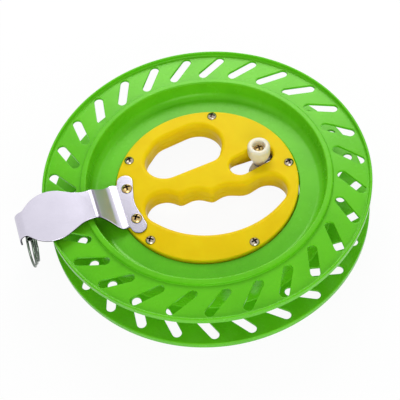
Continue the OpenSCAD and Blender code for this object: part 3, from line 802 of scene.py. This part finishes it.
def bent(s):
    """Point (u, z) and slope of the sheet's middle at length s."""
    low_z = GUIDE_FOOT_Z + GUIDE_T / 2
    high_z = GUIDE_FLAT_Z + GUIDE_T / 2
    if s < RAMP_IN:
        return Vector((s, low_z)), 0.0
    if s < S_RAMP:
        a = (s - RAMP_IN) / LOW_R
        return Vector((RAMP_IN + LOW_R * math.sin(a), low_z + LOW_R * (1 - math.cos(a)))), a
    if s < S_HIGH:
        foot, _ = bent(S_RAMP - 1e-9)
        return foot + Vector((math.cos(SLOPE), math.sin(SLOPE))) * (s - S_RAMP), SLOPE
    if s < S_FLAT:
        a = (S_FLAT - s) / HIGH_R
        return Vector((RAMP_OUT - HIGH_R * math.sin(a), high_z - HIGH_R * (1 - math.cos(a)))), a
    if s < S_TAB:
        return Vector((RAMP_OUT + s - S_FLAT, high_z)), 0.0
    if s < S_DOWN:
        a = (s - S_TAB) / TAB_R
        return Vector((TAB_U + TAB_R * math.sin(a), high_z - TAB_R * (1 - math.cos(a)))), -a
    return Vector((TAB_U + TAB_R, high_z - TAB_R - (s - S_DOWN))), -math.pi / 2


def length_at(u):
    """Length along the sheet at a distance u from the wheel axis, up to its bent end."""
    low, high = 0.0, S_DOWN
    for _ in range(40):
        middle = (low + high) / 2
        if bent(middle)[0].x < u:
            low = middle
        else:
            high = middle
    return low


def hollow_u(radius, v):
    return math.sqrt(((GUIDE_DISC_R + radius) * BELT_SLACK) ** 2 - (v + radius) ** 2)


def guide_circles():
    """Circles that the plan of the guide runs round, from its end round both sides of its foot."""
    disc = (GUIDE_DISC_U, 0.0, GUIDE_DISC_R, 1)
    neck_u = GUIDE_DISC_U - hollow_u(NECK_R, GUIDE_WAIST)
    neck_v = GUIDE_WAIST + NECK_R
    away = math.sqrt(((NECK_R + FOOT_SHOULDER_R) * BELT_SLACK) ** 2 - (neck_u - FOOT_SHOULDER_U) ** 2)
    tab_u = GUIDE_DISC_U + hollow_u(TAB_HOLLOW_R, GUIDE_TAB)
    corner = (GUIDE_REACH + TAB_CORNER_R, GUIDE_TAB - TAB_CORNER_R, TAB_CORNER_R, 1)
    tab = (tab_u, GUIDE_TAB + TAB_HOLLOW_R, TAB_HOLLOW_R, -1)
    neck = (neck_u, neck_v, NECK_R, -1)
    shoulder = (FOOT_SHOULDER_U, neck_v - away, FOOT_SHOULDER_R, 1)
    lobe = (GUIDE_SCREW_U, FOOT_LOBE_V, FOOT_LOBE_R, 1)
    side = [corner, tab, disc, neck, shoulder, bump_between(shoulder, lobe, FOOT_NOTCH_R), lobe]
    hollow = (FOOT_HOLLOW_U, 0.0, FOOT_HOLLOW_R, -1)
    return side + [hollow] + [(u, -v, r, way) for u, v, r, way in reversed(side)]


def divided(points, most):
    """A closed outline with its long edges divided; returns each new point's edge and share."""
    places = []
    for i, here in enumerate(points):
        after = points[(i + 1) % len(points)]
        steps = max(1, math.ceil((Vector(after) - Vector(here)).length / most))
        places.extend((i, k / steps) for k in range(steps))
    return places


TAB_START = 126.0
TAB_CORNER = 1.6
SHEET_EDGE = 0.35
ROW_HALF = 24.0
ROW_STEPS = 40
ROW_CLEAR = 0.5

# How much painted shade and painted dark reflection the sheet has in places, from 0 to 1
CUT_EDGE_SHADE = 0.95
UNDER_SHADE = 0.6
FOOT_SHADE = 0.46
RAMP_LOW_SHADE = 0.2
RAMP_HIGH_SHADE = 0.3
HIGH_BEND_SHADE = 0.9
FLAT_SHADE = 0.2
FLAT_FADE = 2.0


def flat_guide(grow):
    """Outline of the flat sheet, moved outward by grow: from the tab round the foot and back."""
    plan = [p for p in belt(guide_circles(), grow, 5.0) if p[0] < TAB_START]
    side = [(length_at(u), v) for u, v in plan]
    half = GUIDE_TAB + grow
    corner = TAB_CORNER + grow
    tip = S_END + grow
    arc = [polar(corner, a) for a in fan(0, 90, 5)]
    end = [(tip - corner + p[0], half - corner + p[1]) for p in arc]
    return [(s, -v) for s, v in reversed(end)] + end + side


def bent_point(s, v, height):
    point, a = bent(s)
    u = point.x - height * math.sin(a)
    z = point.y + height * math.cos(a)
    return on_guide(u, v, z)


def bend_rows():
    """Lengths along the sheet where it bends, as rows of points inside its outline."""
    rows = fan(RAMP_IN, S_RAMP - RAMP_IN, 12) + fan(S_HIGH, S_FLAT - S_HIGH, 8)
    rows += fan(S_TAB, S_DOWN - S_TAB, 10) + fan(S_RAMP, RAMP_LEN, 6)[1:-1]
    return sorted(set(rows))


def sheet_painted_shade(s):
    """How much painted shade the sheet has at length s: painted dark reflections are strongest on its foot
    and its upper bend.
    """
    stops = ((RAMP_IN, FOOT_SHADE), ((RAMP_IN + S_RAMP) / 2, 0.0), (S_RAMP, RAMP_LOW_SHADE),
             (S_HIGH, RAMP_HIGH_SHADE), ((S_HIGH + S_FLAT) / 2, HIGH_BEND_SHADE),
             (S_FLAT, FLAT_SHADE), (S_FLAT + FLAT_FADE, 0.0))
    if s <= stops[0][0]:
        return FOOT_SHADE
    for (low, before), (high, after) in zip(stops, stops[1:]):
        if s <= high:
            return before + (after - before) * (s - low) / (high - low)
    return 0.0


def sheet_levels():
    """Steps round the sheet's upper edge, each as (growth of the outline, height)."""
    half = GUIDE_T / 2
    corner = [polar(SHEET_EDGE, a) for a in (60, 30, 0)]
    return [(-SHEET_EDGE, half)] + [(p[0] - SHEET_EDGE, half - SHEET_EDGE + p[1]) for p in corner]


def inner_points(flat):
    """Points inside the flat outline, in rows along its bends and clear of its edge."""
    outline = Outline(flat)
    inner = [(s, v) for s in bend_rows() for v in fan(-ROW_HALF, 2 * ROW_HALF, ROW_STEPS)
             if outline.holds(s, v)]
    return [p for p in inner if min((Vector(p) - q).length for q in flat) > ROW_CLEAR]


def line_guide_sheet(name):
    """The bent sheet with rounded edges; its points carry how much painted shade it has there."""
    skin = Skin()
    half = GUIDE_T / 2
    levels = sheet_levels()
    upper = len(levels)
    levels += [(grow, -height) for grow, height in reversed(levels)]
    places = divided(flat_guide(0.0), 1.0)
    rings = []
    flats = []
    for grow, height in levels:
        corners = [Vector(p) for p in flat_guide(grow)]
        flat = [corners[i].lerp(corners[(i + 1) % len(corners)], share) for i, share in places]
        top = len(flats) < upper - 1
        flats.append(flat)
        # The top gets painted dark reflections along its length; the cut edge and the rounding under it get
        # painted shade
        shades = [sheet_painted_shade(p.x) if top else CUT_EDGE_SHADE for p in flat]
        rings.append(skin.ring([bent_point(p.x, p.y, height) for p in flat], shades))
    skin.bands(rings)
    inner = inner_points(flats[0])
    faces = triangles(flats[0], (), inner)
    for ring, height in ((rings[0], half), (rings[-1], -half)):
        # The underside gets painted shade
        shades = [sheet_painted_shade(s) if height > 0 else UNDER_SHADE for s, v in inner]
        numbers = ring + skin.ring([bent_point(s, v, height) for s, v in inner], shades)
        skin.faces.extend(tuple(numbers[i] for i in face) for face in faces)
    return piece_of(name, skin)


# Eyelet: the wire's ends narrow over a share of its radius

TIP_LENGTH = 0.5
TIP_NARROWS = 0.7
WIRE_STEPS = 72
FERRULE_EDGE = 0.45
FERRULE_ROLL = 0.3
FERRULE_MOUTH_EDGE = 0.2
FERRULE_SPLIT = 0.1


def loop_shift(angle, turn):
    """Place along the guide of a point of the loops, which stand close below and fan out above."""
    pitch = EYELET_PITCH + EYELET_FAN * (1 + math.sin(angle)) / 2
    slant = EYELET_R * math.cos(angle) * math.tan(math.radians(EYELET_YAW))
    return LOOP_U + slant + pitch * (EYELET_TURNS / 2 - turn)


def wire_route():
    """Middle line of the wire: a leg in the ferrule, a bend, a run down and the loops."""
    start = loop_shift(math.pi, 0)
    points = [(FERRULE_U, v, FERRULE_Z) for v in fan(LEG_LEN, LEG_V - LEG_LEN, 8)]
    for share in fan(0, 1, 12)[1:]:
        a = math.radians(90 + 90 * share)
        s = share ** 2
        points.append((FERRULE_U * (1 - s) + start * s, LEG_V + LEG_BEND * math.cos(a),
                       FERRULE_Z - LEG_BEND + LEG_BEND * math.sin(a)))
    for share in fan(0, 1, 8)[1:-1]:
        points.append((start, (LEG_V - LEG_BEND) * (1 - share) - EYELET_R * share,
                       (FERRULE_Z - LEG_BEND) * (1 - share) + LOOP_Z * share))
    for k in range(round(WIRE_STEPS * EYELET_TURNS) + 1):
        turn = k / WIRE_STEPS
        a = math.radians(180 + 360 * turn)
        radius = EYELET_R - EYELET_TAPER * turn
        points.append((loop_shift(a, turn), radius * math.cos(a), LOOP_Z + radius * math.sin(a)))
    return [on_guide(u, v + EYELET_V, z) for u, v, z in points]


def wire_tip(station, way, angle):
    """One ring of a domed wire end, past its last station."""
    point, x, y, radius = station
    a = math.radians(angle)
    narrow = radius * (1 - (1 - math.cos(a)) * TIP_NARROWS)
    return (point + way * radius * math.sin(a) * TIP_LENGTH, x, y, narrow)


def swept_wire(name, route, radius, sides=16):
    """A round wire along a route, with domed ends."""
    skin = Skin()
    last = len(route) - 1
    ways = [(route[min(i + 1, last)] - route[max(i - 1, 0)]).normalized() for i in range(last + 1)]
    across = Vector((0, 0, 1))
    stations = []
    for point, way in zip(route, ways):
        across = (across - way * across.dot(way)).normalized()
        stations.append((point, across.copy(), way.cross(across), radius))
    head = [wire_tip(stations[0], -ways[0], a) for a in (60, 30)]
    tail = [wire_tip(stations[-1], ways[-1], a) for a in (30, 60)]
    rings = []
    for point, x, y, r in head + stations + tail:
        rings.append(skin.ring([point + x * p[0] + y * p[1] for p in circle(r, 0, even(sides))]))
    skin.bands(rings)
    skin.cap(rings[0])
    skin.cap(rings[-1])
    return piece_of(name, skin)


def ferrule_tube(name):
    """Tube under the guide's end that holds the wire, with rolled edges."""
    skin = Skin()
    half = FERRULE_LEN / 2
    bore = WIRE_R + FREE_FIT
    mouth = FERRULE_R - FERRULE_LIP
    path = rounded([
        (bore, 0, 0), (bore, half, FERRULE_ROLL), (FERRULE_R, half, FERRULE_EDGE),
        (FERRULE_R, -half, FERRULE_ROLL), (mouth, -half, FERRULE_MOUTH_EDGE),
        (bore, FERRULE_MOUTH - half, 0), (bore, -FERRULE_SPLIT, 0)])
    turn_path(skin, path, 48, closed=True)
    # Faces of the bore inside the mouth are painted fully dark as shade
    for i, face in enumerate(skin.faces):
        if all(math.hypot(skin.points[j].x, skin.points[j].y) < mouth for j in face):
            skin.shades[i] = 1.0
    lie_down = Matrix.Rotation(math.radians(90), 4, "X")
    turn = Matrix.Rotation(math.radians(GUIDE_ANGLE), 4, "Z")
    skin.move(Matrix.Translation(on_guide(FERRULE_U, EYELET_V, FERRULE_Z)) @ turn @ lie_down)
    return piece_of(name, skin)


# Materials

def linear(red, green, blue):
    """A colour in linear light from its usual 0 to 255 numbers."""
    def channel(value):
        share = value / 255
        return share / 12.92 if share <= 0.04045 else ((share + 0.055) / 1.055) ** 2.4
    return (channel(red), channel(green), channel(blue), 1.0)


def add_node(tree, kind, **values):
    """A node with some of its settings and unlinked sockets filled in."""
    made = tree.nodes.new(kind)
    for key, value in values.items():
        if hasattr(made, key):
            setattr(made, key, value)
        else:
            made.inputs[key.replace("_", " ").title()].default_value = value
    return made


def feed(tree, socket, value):
    """Links a socket to another one, or sets it to a plain value."""
    if isinstance(value, bpy.types.NodeSocket):
        tree.links.new(value, socket)
    else:
        socket.default_value = value


def feed_all(tree, sockets, values):
    for key, value in values.items():
        feed(tree, sockets[key], value)


def worked_out(tree, operation, *values):
    """Output of a math node on sockets or numbers."""
    made = add_node(tree, "ShaderNodeMath", operation=operation)
    for socket, value in zip(made.inputs, values):
        feed(tree, socket, value)
    return made.outputs[0]


def noise(tree, place, scale, detail, rough=0.5):
    made = add_node(tree, "ShaderNodeTexNoise", Detail=detail, Roughness=rough)
    feed_all(tree, made.inputs, {"Vector": place, "Scale": scale})
    return made.outputs["Fac"]


def mixed(tree, share, a, b):
    """Mix of two colours."""
    made = add_node(tree, "ShaderNodeMix", data_type="RGBA")
    feed_all(tree, made.inputs, {"Factor": share, "A": a, "B": b})
    return made.outputs["Result"]


def uneven_gloss(tree, swing, given):
    """Roughness that swings about the given one with a noise, by the given spread."""
    centred = worked_out(tree, "SUBTRACT", swing, 0.5)
    return worked_out(tree, "MULTIPLY_ADD", centred, given["Spread"], given["Roughness"])


COLOR = "NodeSocketColor"
FLOAT = "NodeSocketFloat"
WHITE = (1, 1, 1, 1)
NEAR_BLACK = (0.02, 0.02, 0.02, 1)
HAZE_FINER = 3.1
CLOUD_RANGE = (0.3, 0.75)
STAIN_SCALE = 60.0


def new_group(name, inputs):
    """A shader group that puts out colour, roughness and height; inputs are (name, type, value)."""
    group = bpy.data.node_groups.new(name, "ShaderNodeTree")
    for label, kind, value in inputs:
        socket = group.interface.new_socket(label, in_out="INPUT", socket_type=kind)
        socket.default_value = value
    for label, kind in (("Color", COLOR), ("Roughness", FLOAT), ("Height", FLOAT)):
        group.interface.new_socket(label, in_out="OUTPUT", socket_type=kind)
    return group, group.nodes.new("NodeGroupInput").outputs, group.nodes.new("NodeGroupOutput").inputs


def moulded_surface():
    """Colour clouding, uneven gloss and fine grain of a moulded plastic."""
    tree, given, put = new_group("moulded_surface", [
        ("Color", COLOR, WHITE), ("Deep Color", COLOR, WHITE), ("Roughness", FLOAT, 0.3),
        ("Spread", FLOAT, 0.1), ("Cloud Scale", FLOAT, 40.0), ("Grain Scale", FLOAT, 2500.0)])
    place = add_node(tree, "ShaderNodeTexCoord").outputs["Object"]
    cloud = noise(tree, place, given["Cloud Scale"], 4.0, 0.55)
    haze = noise(tree, place, worked_out(tree, "MULTIPLY", given["Cloud Scale"], HAZE_FINER), 3.0, 0.6)
    grain = noise(tree, place, given["Grain Scale"], 2.0)
    ramp = add_node(tree, "ShaderNodeMapRange", interpolation_type="SMOOTHSTEP")
    feed_all(tree, ramp.inputs, {"Value": cloud, "From Min": CLOUD_RANGE[0], "From Max": CLOUD_RANGE[1]})
    tone = mixed(tree, ramp.outputs["Result"], given["Color"], given["Deep Color"])
    feed_all(tree, put, {"Color": tone, "Roughness": uneven_gloss(tree, haze, given), "Height": grain})
    return tree


def metal_grain():
    """Drawn or rolled grain of a metal in its tone and gloss, with painted shade mixed in where the mesh's
    shade attribute says so.
    """
    tree, given, put = new_group("metal_grain", [
        ("Color", COLOR, WHITE), ("Dark Color", COLOR, WHITE), ("Roughness", FLOAT, 0.3),
        ("Spread", FLOAT, 0.1), ("Scale", FLOAT, 300.0), ("Stretch", FLOAT, 8.0),
        ("Shade Color", COLOR, NEAR_BLACK)])
    shade = add_node(tree, "ShaderNodeAttribute", attribute_name="shade").outputs["Fac"]
    place = add_node(tree, "ShaderNodeTexCoord").outputs["Object"]
    stretch = add_node(tree, "ShaderNodeCombineXYZ", X=1.0, Z=1.0)
    feed(tree, stretch.inputs["Y"], given["Stretch"])
    along = add_node(tree, "ShaderNodeVectorMath", operation="MULTIPLY")
    feed(tree, along.inputs[0], place)
    feed(tree, along.inputs[1], stretch.outputs[0])
    streak = noise(tree, along.outputs[0], given["Scale"], 5.0, 0.65)
    stain = noise(tree, place, STAIN_SCALE, 3.0)
    tone = mixed(tree, worked_out(tree, "MULTIPLY", streak, stain), given["Color"], given["Dark Color"])
    shaded = mixed(tree, shade, tone, given["Shade Color"])
    feed_all(tree, put, {"Color": shaded, "Roughness": uneven_gloss(tree, streak, given), "Height": streak})
    return tree


def surface_material(name, group, bump, settings, values):
    """A material whose colour, gloss and bump (strength, depth) come from a shared group."""
    material = bpy.data.materials.new(name)
    material.use_nodes = True
    tree = material.node_tree
    shader = tree.nodes["Principled BSDF"].inputs
    surface = tree.nodes.new("ShaderNodeGroup")
    surface.node_tree = group
    relief = add_node(tree, "ShaderNodeBump", Strength=bump[0], Distance=bump[1] * MM)
    feed_all(tree, shader, settings)
    feed_all(tree, surface.inputs, values)
    feed(tree, relief.inputs["Height"], surface.outputs["Height"])
    feed_all(tree, shader, {"Base Color": surface.outputs["Color"], "Roughness": surface.outputs["Roughness"],
                            "Normal": relief.outputs["Normal"]})
    return material


def wheel_green(group):
    return surface_material(
        "wheel_green", group, (0.15, 0.02),
        {"IOR": 1.5, "Specular IOR Level": 0.26, "Specular Tint": (0.72, 1.0, 0.45, 1.0),
         "Subsurface Weight": 0.12, "Subsurface Scale": 0.004, "Subsurface Radius": (0.5, 1.0, 0.2)},
        {"Color": linear(97, 193, 24), "Deep Color": linear(88, 183, 19), "Roughness": 0.27, "Spread": 0.08,
         "Cloud Scale": 35.0, "Grain Scale": 2200.0})


def grip_yellow(group):
    return surface_material(
        "grip_yellow", group, (0.12, 0.02),
        {"IOR": 1.5, "Specular IOR Level": 0.08, "Specular Tint": (1.0, 0.8, 0.25, 1.0),
         "Subsurface Weight": 0.35, "Subsurface Scale": 0.006, "Subsurface Radius": (1.0, 0.62, 0.1)},
        {"Color": linear(236, 203, 18), "Deep Color": linear(230, 193, 12), "Roughness": 0.3, "Spread": 0.06,
         "Cloud Scale": 45.0, "Grain Scale": 2400.0})


def knob_nylon(group):
    return surface_material(
        "knob_nylon", group, (0.2, 0.03),
        {"IOR": 1.53, "Specular IOR Level": 0.5, "Subsurface Weight": 0.6, "Subsurface Scale": 0.006,
         "Subsurface Radius": (1.0, 0.85, 0.6), "Transmission Weight": 0.12},
        {"Color": linear(236, 230, 208), "Deep Color": linear(226, 218, 190),
         "Roughness": 0.36, "Spread": 0.15, "Cloud Scale": 160.0, "Grain Scale": 1800.0})


def metal(name, group, colors, roughness, grain, bump):
    """A bare metal: colours are plain, dark and the painted shade colour; grain is its scale and stretch."""
    plain, dark, shaded = colors
    return surface_material(
        name, group, bump, {"Metallic": 1.0},
        {"Color": linear(*plain), "Dark Color": linear(*dark), "Shade Color": linear(*shaded),
         "Roughness": roughness, "Spread": 0.12, "Scale": grain[0], "Stretch": grain[1]})


def guide_steel(group):
    colors = ((212, 208, 222), (184, 180, 196), (54, 52, 58))
    return metal("guide_steel", group, colors, 0.24, (260.0, 9.0), (0.12, 0.02))


def wire_chrome(group):
    colors = ((112, 122, 112), (80, 90, 80), (12, 12, 12))
    return metal("wire_chrome", group, colors, 0.16, (500.0, 1.0), (0.05, 0.01))


def screw_nickel(group):
    colors = ((186, 174, 156), (146, 132, 112), (30, 22, 16))
    return metal("screw_nickel", group, colors, 0.20, (700.0, 1.0), (0.08, 0.01))


def screw_brass(group):
    colors = ((206, 178, 120), (164, 134, 80), (36, 24, 12))
    return metal("screw_brass", group, colors, 0.22, (700.0, 1.0), (0.08, 0.01))


def bearing_steel(group):
    colors = ((206, 206, 210), (176, 176, 182), (60, 60, 64))
    return metal("bearing_steel", group, colors, 0.18, (600.0, 4.0), (0.06, 0.01))


def sleeve_alloy(group):
    colors = ((214, 214, 218), (188, 188, 194), (70, 70, 74))
    return metal("sleeve_alloy", group, colors, 0.30, (600.0, 4.0), (0.06, 0.01))


# The bolt's colours are painted dark as shade, for the shaded lock slot where it shows
def bolt_steel(group):
    colors = ((88, 86, 84), (62, 60, 58), (30, 30, 32))
    return metal("bolt_steel", group, colors, 0.34, (500.0, 5.0), (0.08, 0.01))


def all_materials():
    plastic = moulded_surface()
    grain = metal_grain()
    return {
        "wheel_plastic": wheel_green(plastic),
        "grip_plastic": grip_yellow(plastic),
        "knob_nylon": knob_nylon(plastic),
        "guide_steel": guide_steel(grain),
        "wire_chrome": wire_chrome(grain),
        "screw_nickel": screw_nickel(grain),
        "screw_brass": screw_brass(grain),
        "bearing_steel": bearing_steel(grain),
        "sleeve_alloy": sleeve_alloy(grain),
        "bolt_steel": bolt_steel(grain),
    }


# Pieces; the cross of each screw is turned by a first angle and a step

WHEEL_SCREW_TURNS = (0, 37)
GRIP_SCREW_TURNS = (20, 47)
GUIDE_SCREW_TURNS = (15, 50)
LOCK_SCREW_TURN = 12
SOFT_EDGE = 0.2
SOFT_ANGLE = 40.0


def places_round(count, radius, phase, z, turns, up=1):
    """Places of screws spread evenly round the wheel axis."""
    spots = [polar(radius, a) for a in even(count, phase)]
    return [at(p[0], p[1], z, turns[0] + turns[1] * i, up) for i, p in enumerate(spots)]


def build_wheel(finish):
    front = wheel_half("wheel_front_half", 1, FRONT_SLOT_PHASE, SLOT_LEAN)
    rear = wheel_half("wheel_rear_half", -1, REAR_SLOT_PHASE, -SLOT_LEAN)
    carve(rear, counterbores())
    finish_piece(front, "wheel", ["wheel_front_half"], "wheel_plastic", finish)
    finish_piece(rear, "wheel", ["wheel_rear_half"], "wheel_plastic", finish)
    seat = MID - HUB_HALF + SMALL_SCREW[1] + FREE_FIT
    places = places_round(WHEEL_SCREWS, WHEEL_SCREW_R, LOCK_ANGLE, seat, WHEEL_SCREW_TURNS, -1)
    length = MID + HUB_HALF - PILOT_FLOOR - seat - FREE_FIT
    screw_set("wheel_screws", "wheel", "screw_nickel", SMALL_SCREW, length, places, finish)


def build_grip(finish):
    front = grip_shell("grip_front_shell", 1)
    rear = grip_shell("grip_rear_shell", -1)
    for shell in (front, rear):
        carve(shell, shell_windows())
    carve(rear, nut_pockets())
    finish_piece(front, "grip", ["grip_front_shell"], "grip_plastic", finish)
    finish_piece(rear, "grip", ["grip_rear_shell"], "grip_plastic", finish)
    places = places_round(BEARINGS, BEARING_R, BEARING_PHASE, MID + GRIP_HALF, GRIP_SCREW_TURNS)
    length = 2 * GRIP_HALF - PILOT_FLOOR - FREE_FIT
    screw_set("grip_screws", "grip", "screw_nickel", SMALL_SCREW, length, places, finish)


def build_guide(finish):
    sheet = line_guide_sheet("line_guide")
    finish_piece(sheet, "grip", ["line_guide"], "guide_steel", finish)
    first, step = GUIDE_SCREW_TURNS
    spots = enumerate(guide_screw_places())
    places = [at(p.x, p.y, GUIDE_FOOT_Z + GUIDE_T, first + step * i) for i, p in spots]
    length = 2 * GRIP_HALF + GUIDE_T - FREE_FIT
    screw_set("guide_screws", "grip", "screw_brass", GUIDE_SCREW, length, places, finish)
    ferrule = ferrule_tube("eyelet_ferrule")
    finish_piece(ferrule, "grip", ["eyelet_ferrule"], "wire_chrome", finish)
    wire = swept_wire("line_eyelet", wire_route(), WIRE_R)
    finish_piece(wire, "grip", ["line_eyelet"], "wire_chrome", finish)


def build_lock(finish):
    for name, top, up in (("lock_knob_front", KNOB_TOP, 1), ("lock_knob_rear", KNOB_REAR_TOP, -1)):
        knob = lock_knob(name, top, up)
        finish_piece(knob, "lock", [name], "knob_nylon", finish)
    x, y, _ = polar(LOCK_R, LOCK_ANGLE)
    seat = KNOB_TOP - COUNTERBORE_H
    length = seat + KNOB_REAR_TOP - COUNTERBORE_H + LOCK_NUT_H
    place = at(x, y, MID + seat, LOCK_SCREW_TURN)
    screw_set("lock_screw", "lock", "screw_brass", SMALL_SCREW, length, [place], finish)


def dress_inner_nodes(finish):
    """Bearings, nuts and bolt keep their CAD shape and get their slot's finish, the bolt's painted dark as
    shade; nuts and bolt get softened edges.
    """
    slots = {row["node"]: row["material_slot"] for row in frame["record"]["subparts"]}
    kept = ["bearing_sleeves", "bearing_inner_rings", "guide_nuts", "lock_bolt", "lock_nut"]
    for i in range(1, BEARINGS + 1):
        kept += [f"bearing_ring_{i}", f"ball_set_{i}"]
    for name in kept:
        obj = frame["nodes"][name]
        obj.data.materials.clear()
        obj.data.materials.append(finish[slots[name]])
        if name in ("guide_nuts", "lock_nut", "lock_bolt"):
            soften = obj.modifiers.new("soft_edges", "BEVEL")
            soften.width = SOFT_EDGE * MM
            soften.segments = 2
            soften.limit_method = "ANGLE"
            soften.angle_limit = math.radians(SOFT_ANGLE)


# Studio, in metres

FLOOR_HALF = 3.0
FLOOR_GREY = (0.9, 0.9, 0.9, 1)
FLOOR_GLOW = 0.94
WORLD_LIGHT = 0.44
LAMP_AIM = (0, 0, 0.02)


def seen_rays(tree):
    """1 for rays from the camera, from reflections and through clear plastic, else 0."""
    rays = tree.nodes.new("ShaderNodeLightPath").outputs
    either = worked_out(tree, "MAXIMUM", rays["Is Camera Ray"], rays["Is Glossy Ray"])
    return worked_out(tree, "MAXIMUM", either, rays["Is Transmission Ray"])


def put_out_mix(tree, share, first, second, kind):
    """Sends a mix of two shaders to an output node of the given kind."""
    mix = tree.nodes.new("ShaderNodeMixShader")
    for socket, value in zip(mix.inputs, (share, first.outputs[0], second.outputs[0])):
        feed(tree, socket, value)
    feed(tree, tree.nodes.new(kind).inputs["Surface"], mix.outputs[0])


def studio_floor():
    """White floor that the camera sees as white, with the object's soft shadow."""
    mesh = bpy.data.meshes.new("studio_floor")
    corners = [(x * FLOOR_HALF, y * FLOOR_HALF, 0) for x, y in ((-1, -1), (1, -1), (1, 1), (-1, 1))]
    mesh.from_pydata(corners, [], [(0, 1, 2, 3)])
    floor = object_of("studio_floor", mesh)
    material = bpy.data.materials.new("studio_white")
    material.use_nodes = True
    tree = material.node_tree
    tree.nodes.clear()
    matt = add_node(tree, "ShaderNodeBsdfDiffuse", Color=FLOOR_GREY)
    glow = add_node(tree, "ShaderNodeEmission", Color=WHITE, Strength=1.0)
    share = worked_out(tree, "MULTIPLY", seen_rays(tree), FLOOR_GLOW)
    put_out_mix(tree, share, matt, glow, "ShaderNodeOutputMaterial")
    mesh.materials.append(material)


def studio_world():
    """Even white surroundings: full white to the eye and in reflections, softer as light."""
    world = bpy.data.worlds.new("studio_world")
    bpy.context.scene.world = world
    world.use_nodes = True
    tree = world.node_tree
    tree.nodes.clear()
    light = add_node(tree, "ShaderNodeBackground", Color=WHITE, Strength=WORLD_LIGHT)
    seen = add_node(tree, "ShaderNodeBackground", Color=WHITE, Strength=1.0)
    put_out_mix(tree, seen_rays(tree), light, seen, "ShaderNodeOutputWorld")


def soft_lamp(name, place, size, power):
    data = bpy.data.lights.new(name, "AREA")
    data.shape = "DISK"
    data.size = size
    data.energy = power
    lamp = bpy.data.objects.new(name, data)
    lamp.location = place
    lamp.rotation_euler = (Vector(LAMP_AIM) - Vector(place)).to_track_quat("-Z", "Y").to_euler()
    bpy.context.scene.collection.objects.link(lamp)


def studio_lamps():
    """Each lamp's place, size and power in watts."""
    soft_lamp("key_lamp", (-0.5, -0.25, 0.9), 0.35, 0.6)
    soft_lamp("front_lamp", (0.15, -1.0, 0.45), 0.8, 6.2)
    soft_lamp("back_lamp", (0.08, 0.62, 0.5), 0.5, 4.4)


def photo_camera():
    """Camera at the photograph's own place, tilt and framing."""
    data = bpy.data.cameras.new("photo_camera")
    data.sensor_width = SENSOR_MM
    data.lens = FOCAL_PIXELS / PHOTO_WIDTH * SENSOR_MM
    data.shift_x = SHIFT_X
    data.shift_y = SHIFT_Y
    data.clip_start = 0.01
    back = Vector((0, -CAMERA_BACK, CAMERA_UP))
    forward = -back.normalized()
    level = Vector((1, 0, 0))
    upright = level.cross(forward)
    roll = math.radians(CAMERA_ROLL)
    right = level * math.cos(roll) + upright * math.sin(roll)
    up = upright * math.cos(roll) - level * math.sin(roll)
    camera = bpy.data.objects.new("photo_camera", data)
    turn = Matrix((right, up, -forward)).transposed().to_4x4()
    camera.matrix_world = Matrix.Translation((back + Vector((0, 0, WHEEL_W))) * MM) @ turn
    bpy.context.scene.collection.objects.link(camera)
    bpy.context.scene.camera = camera


finishes = all_materials()
build_wheel(finishes)
build_grip(finishes)
build_guide(finishes)
build_lock(finishes)
dress_inner_nodes(finishes)
studio_floor()
studio_world()
studio_lamps()
photo_camera()
bpy.context.scene.view_settings.view_transform = "Standard"
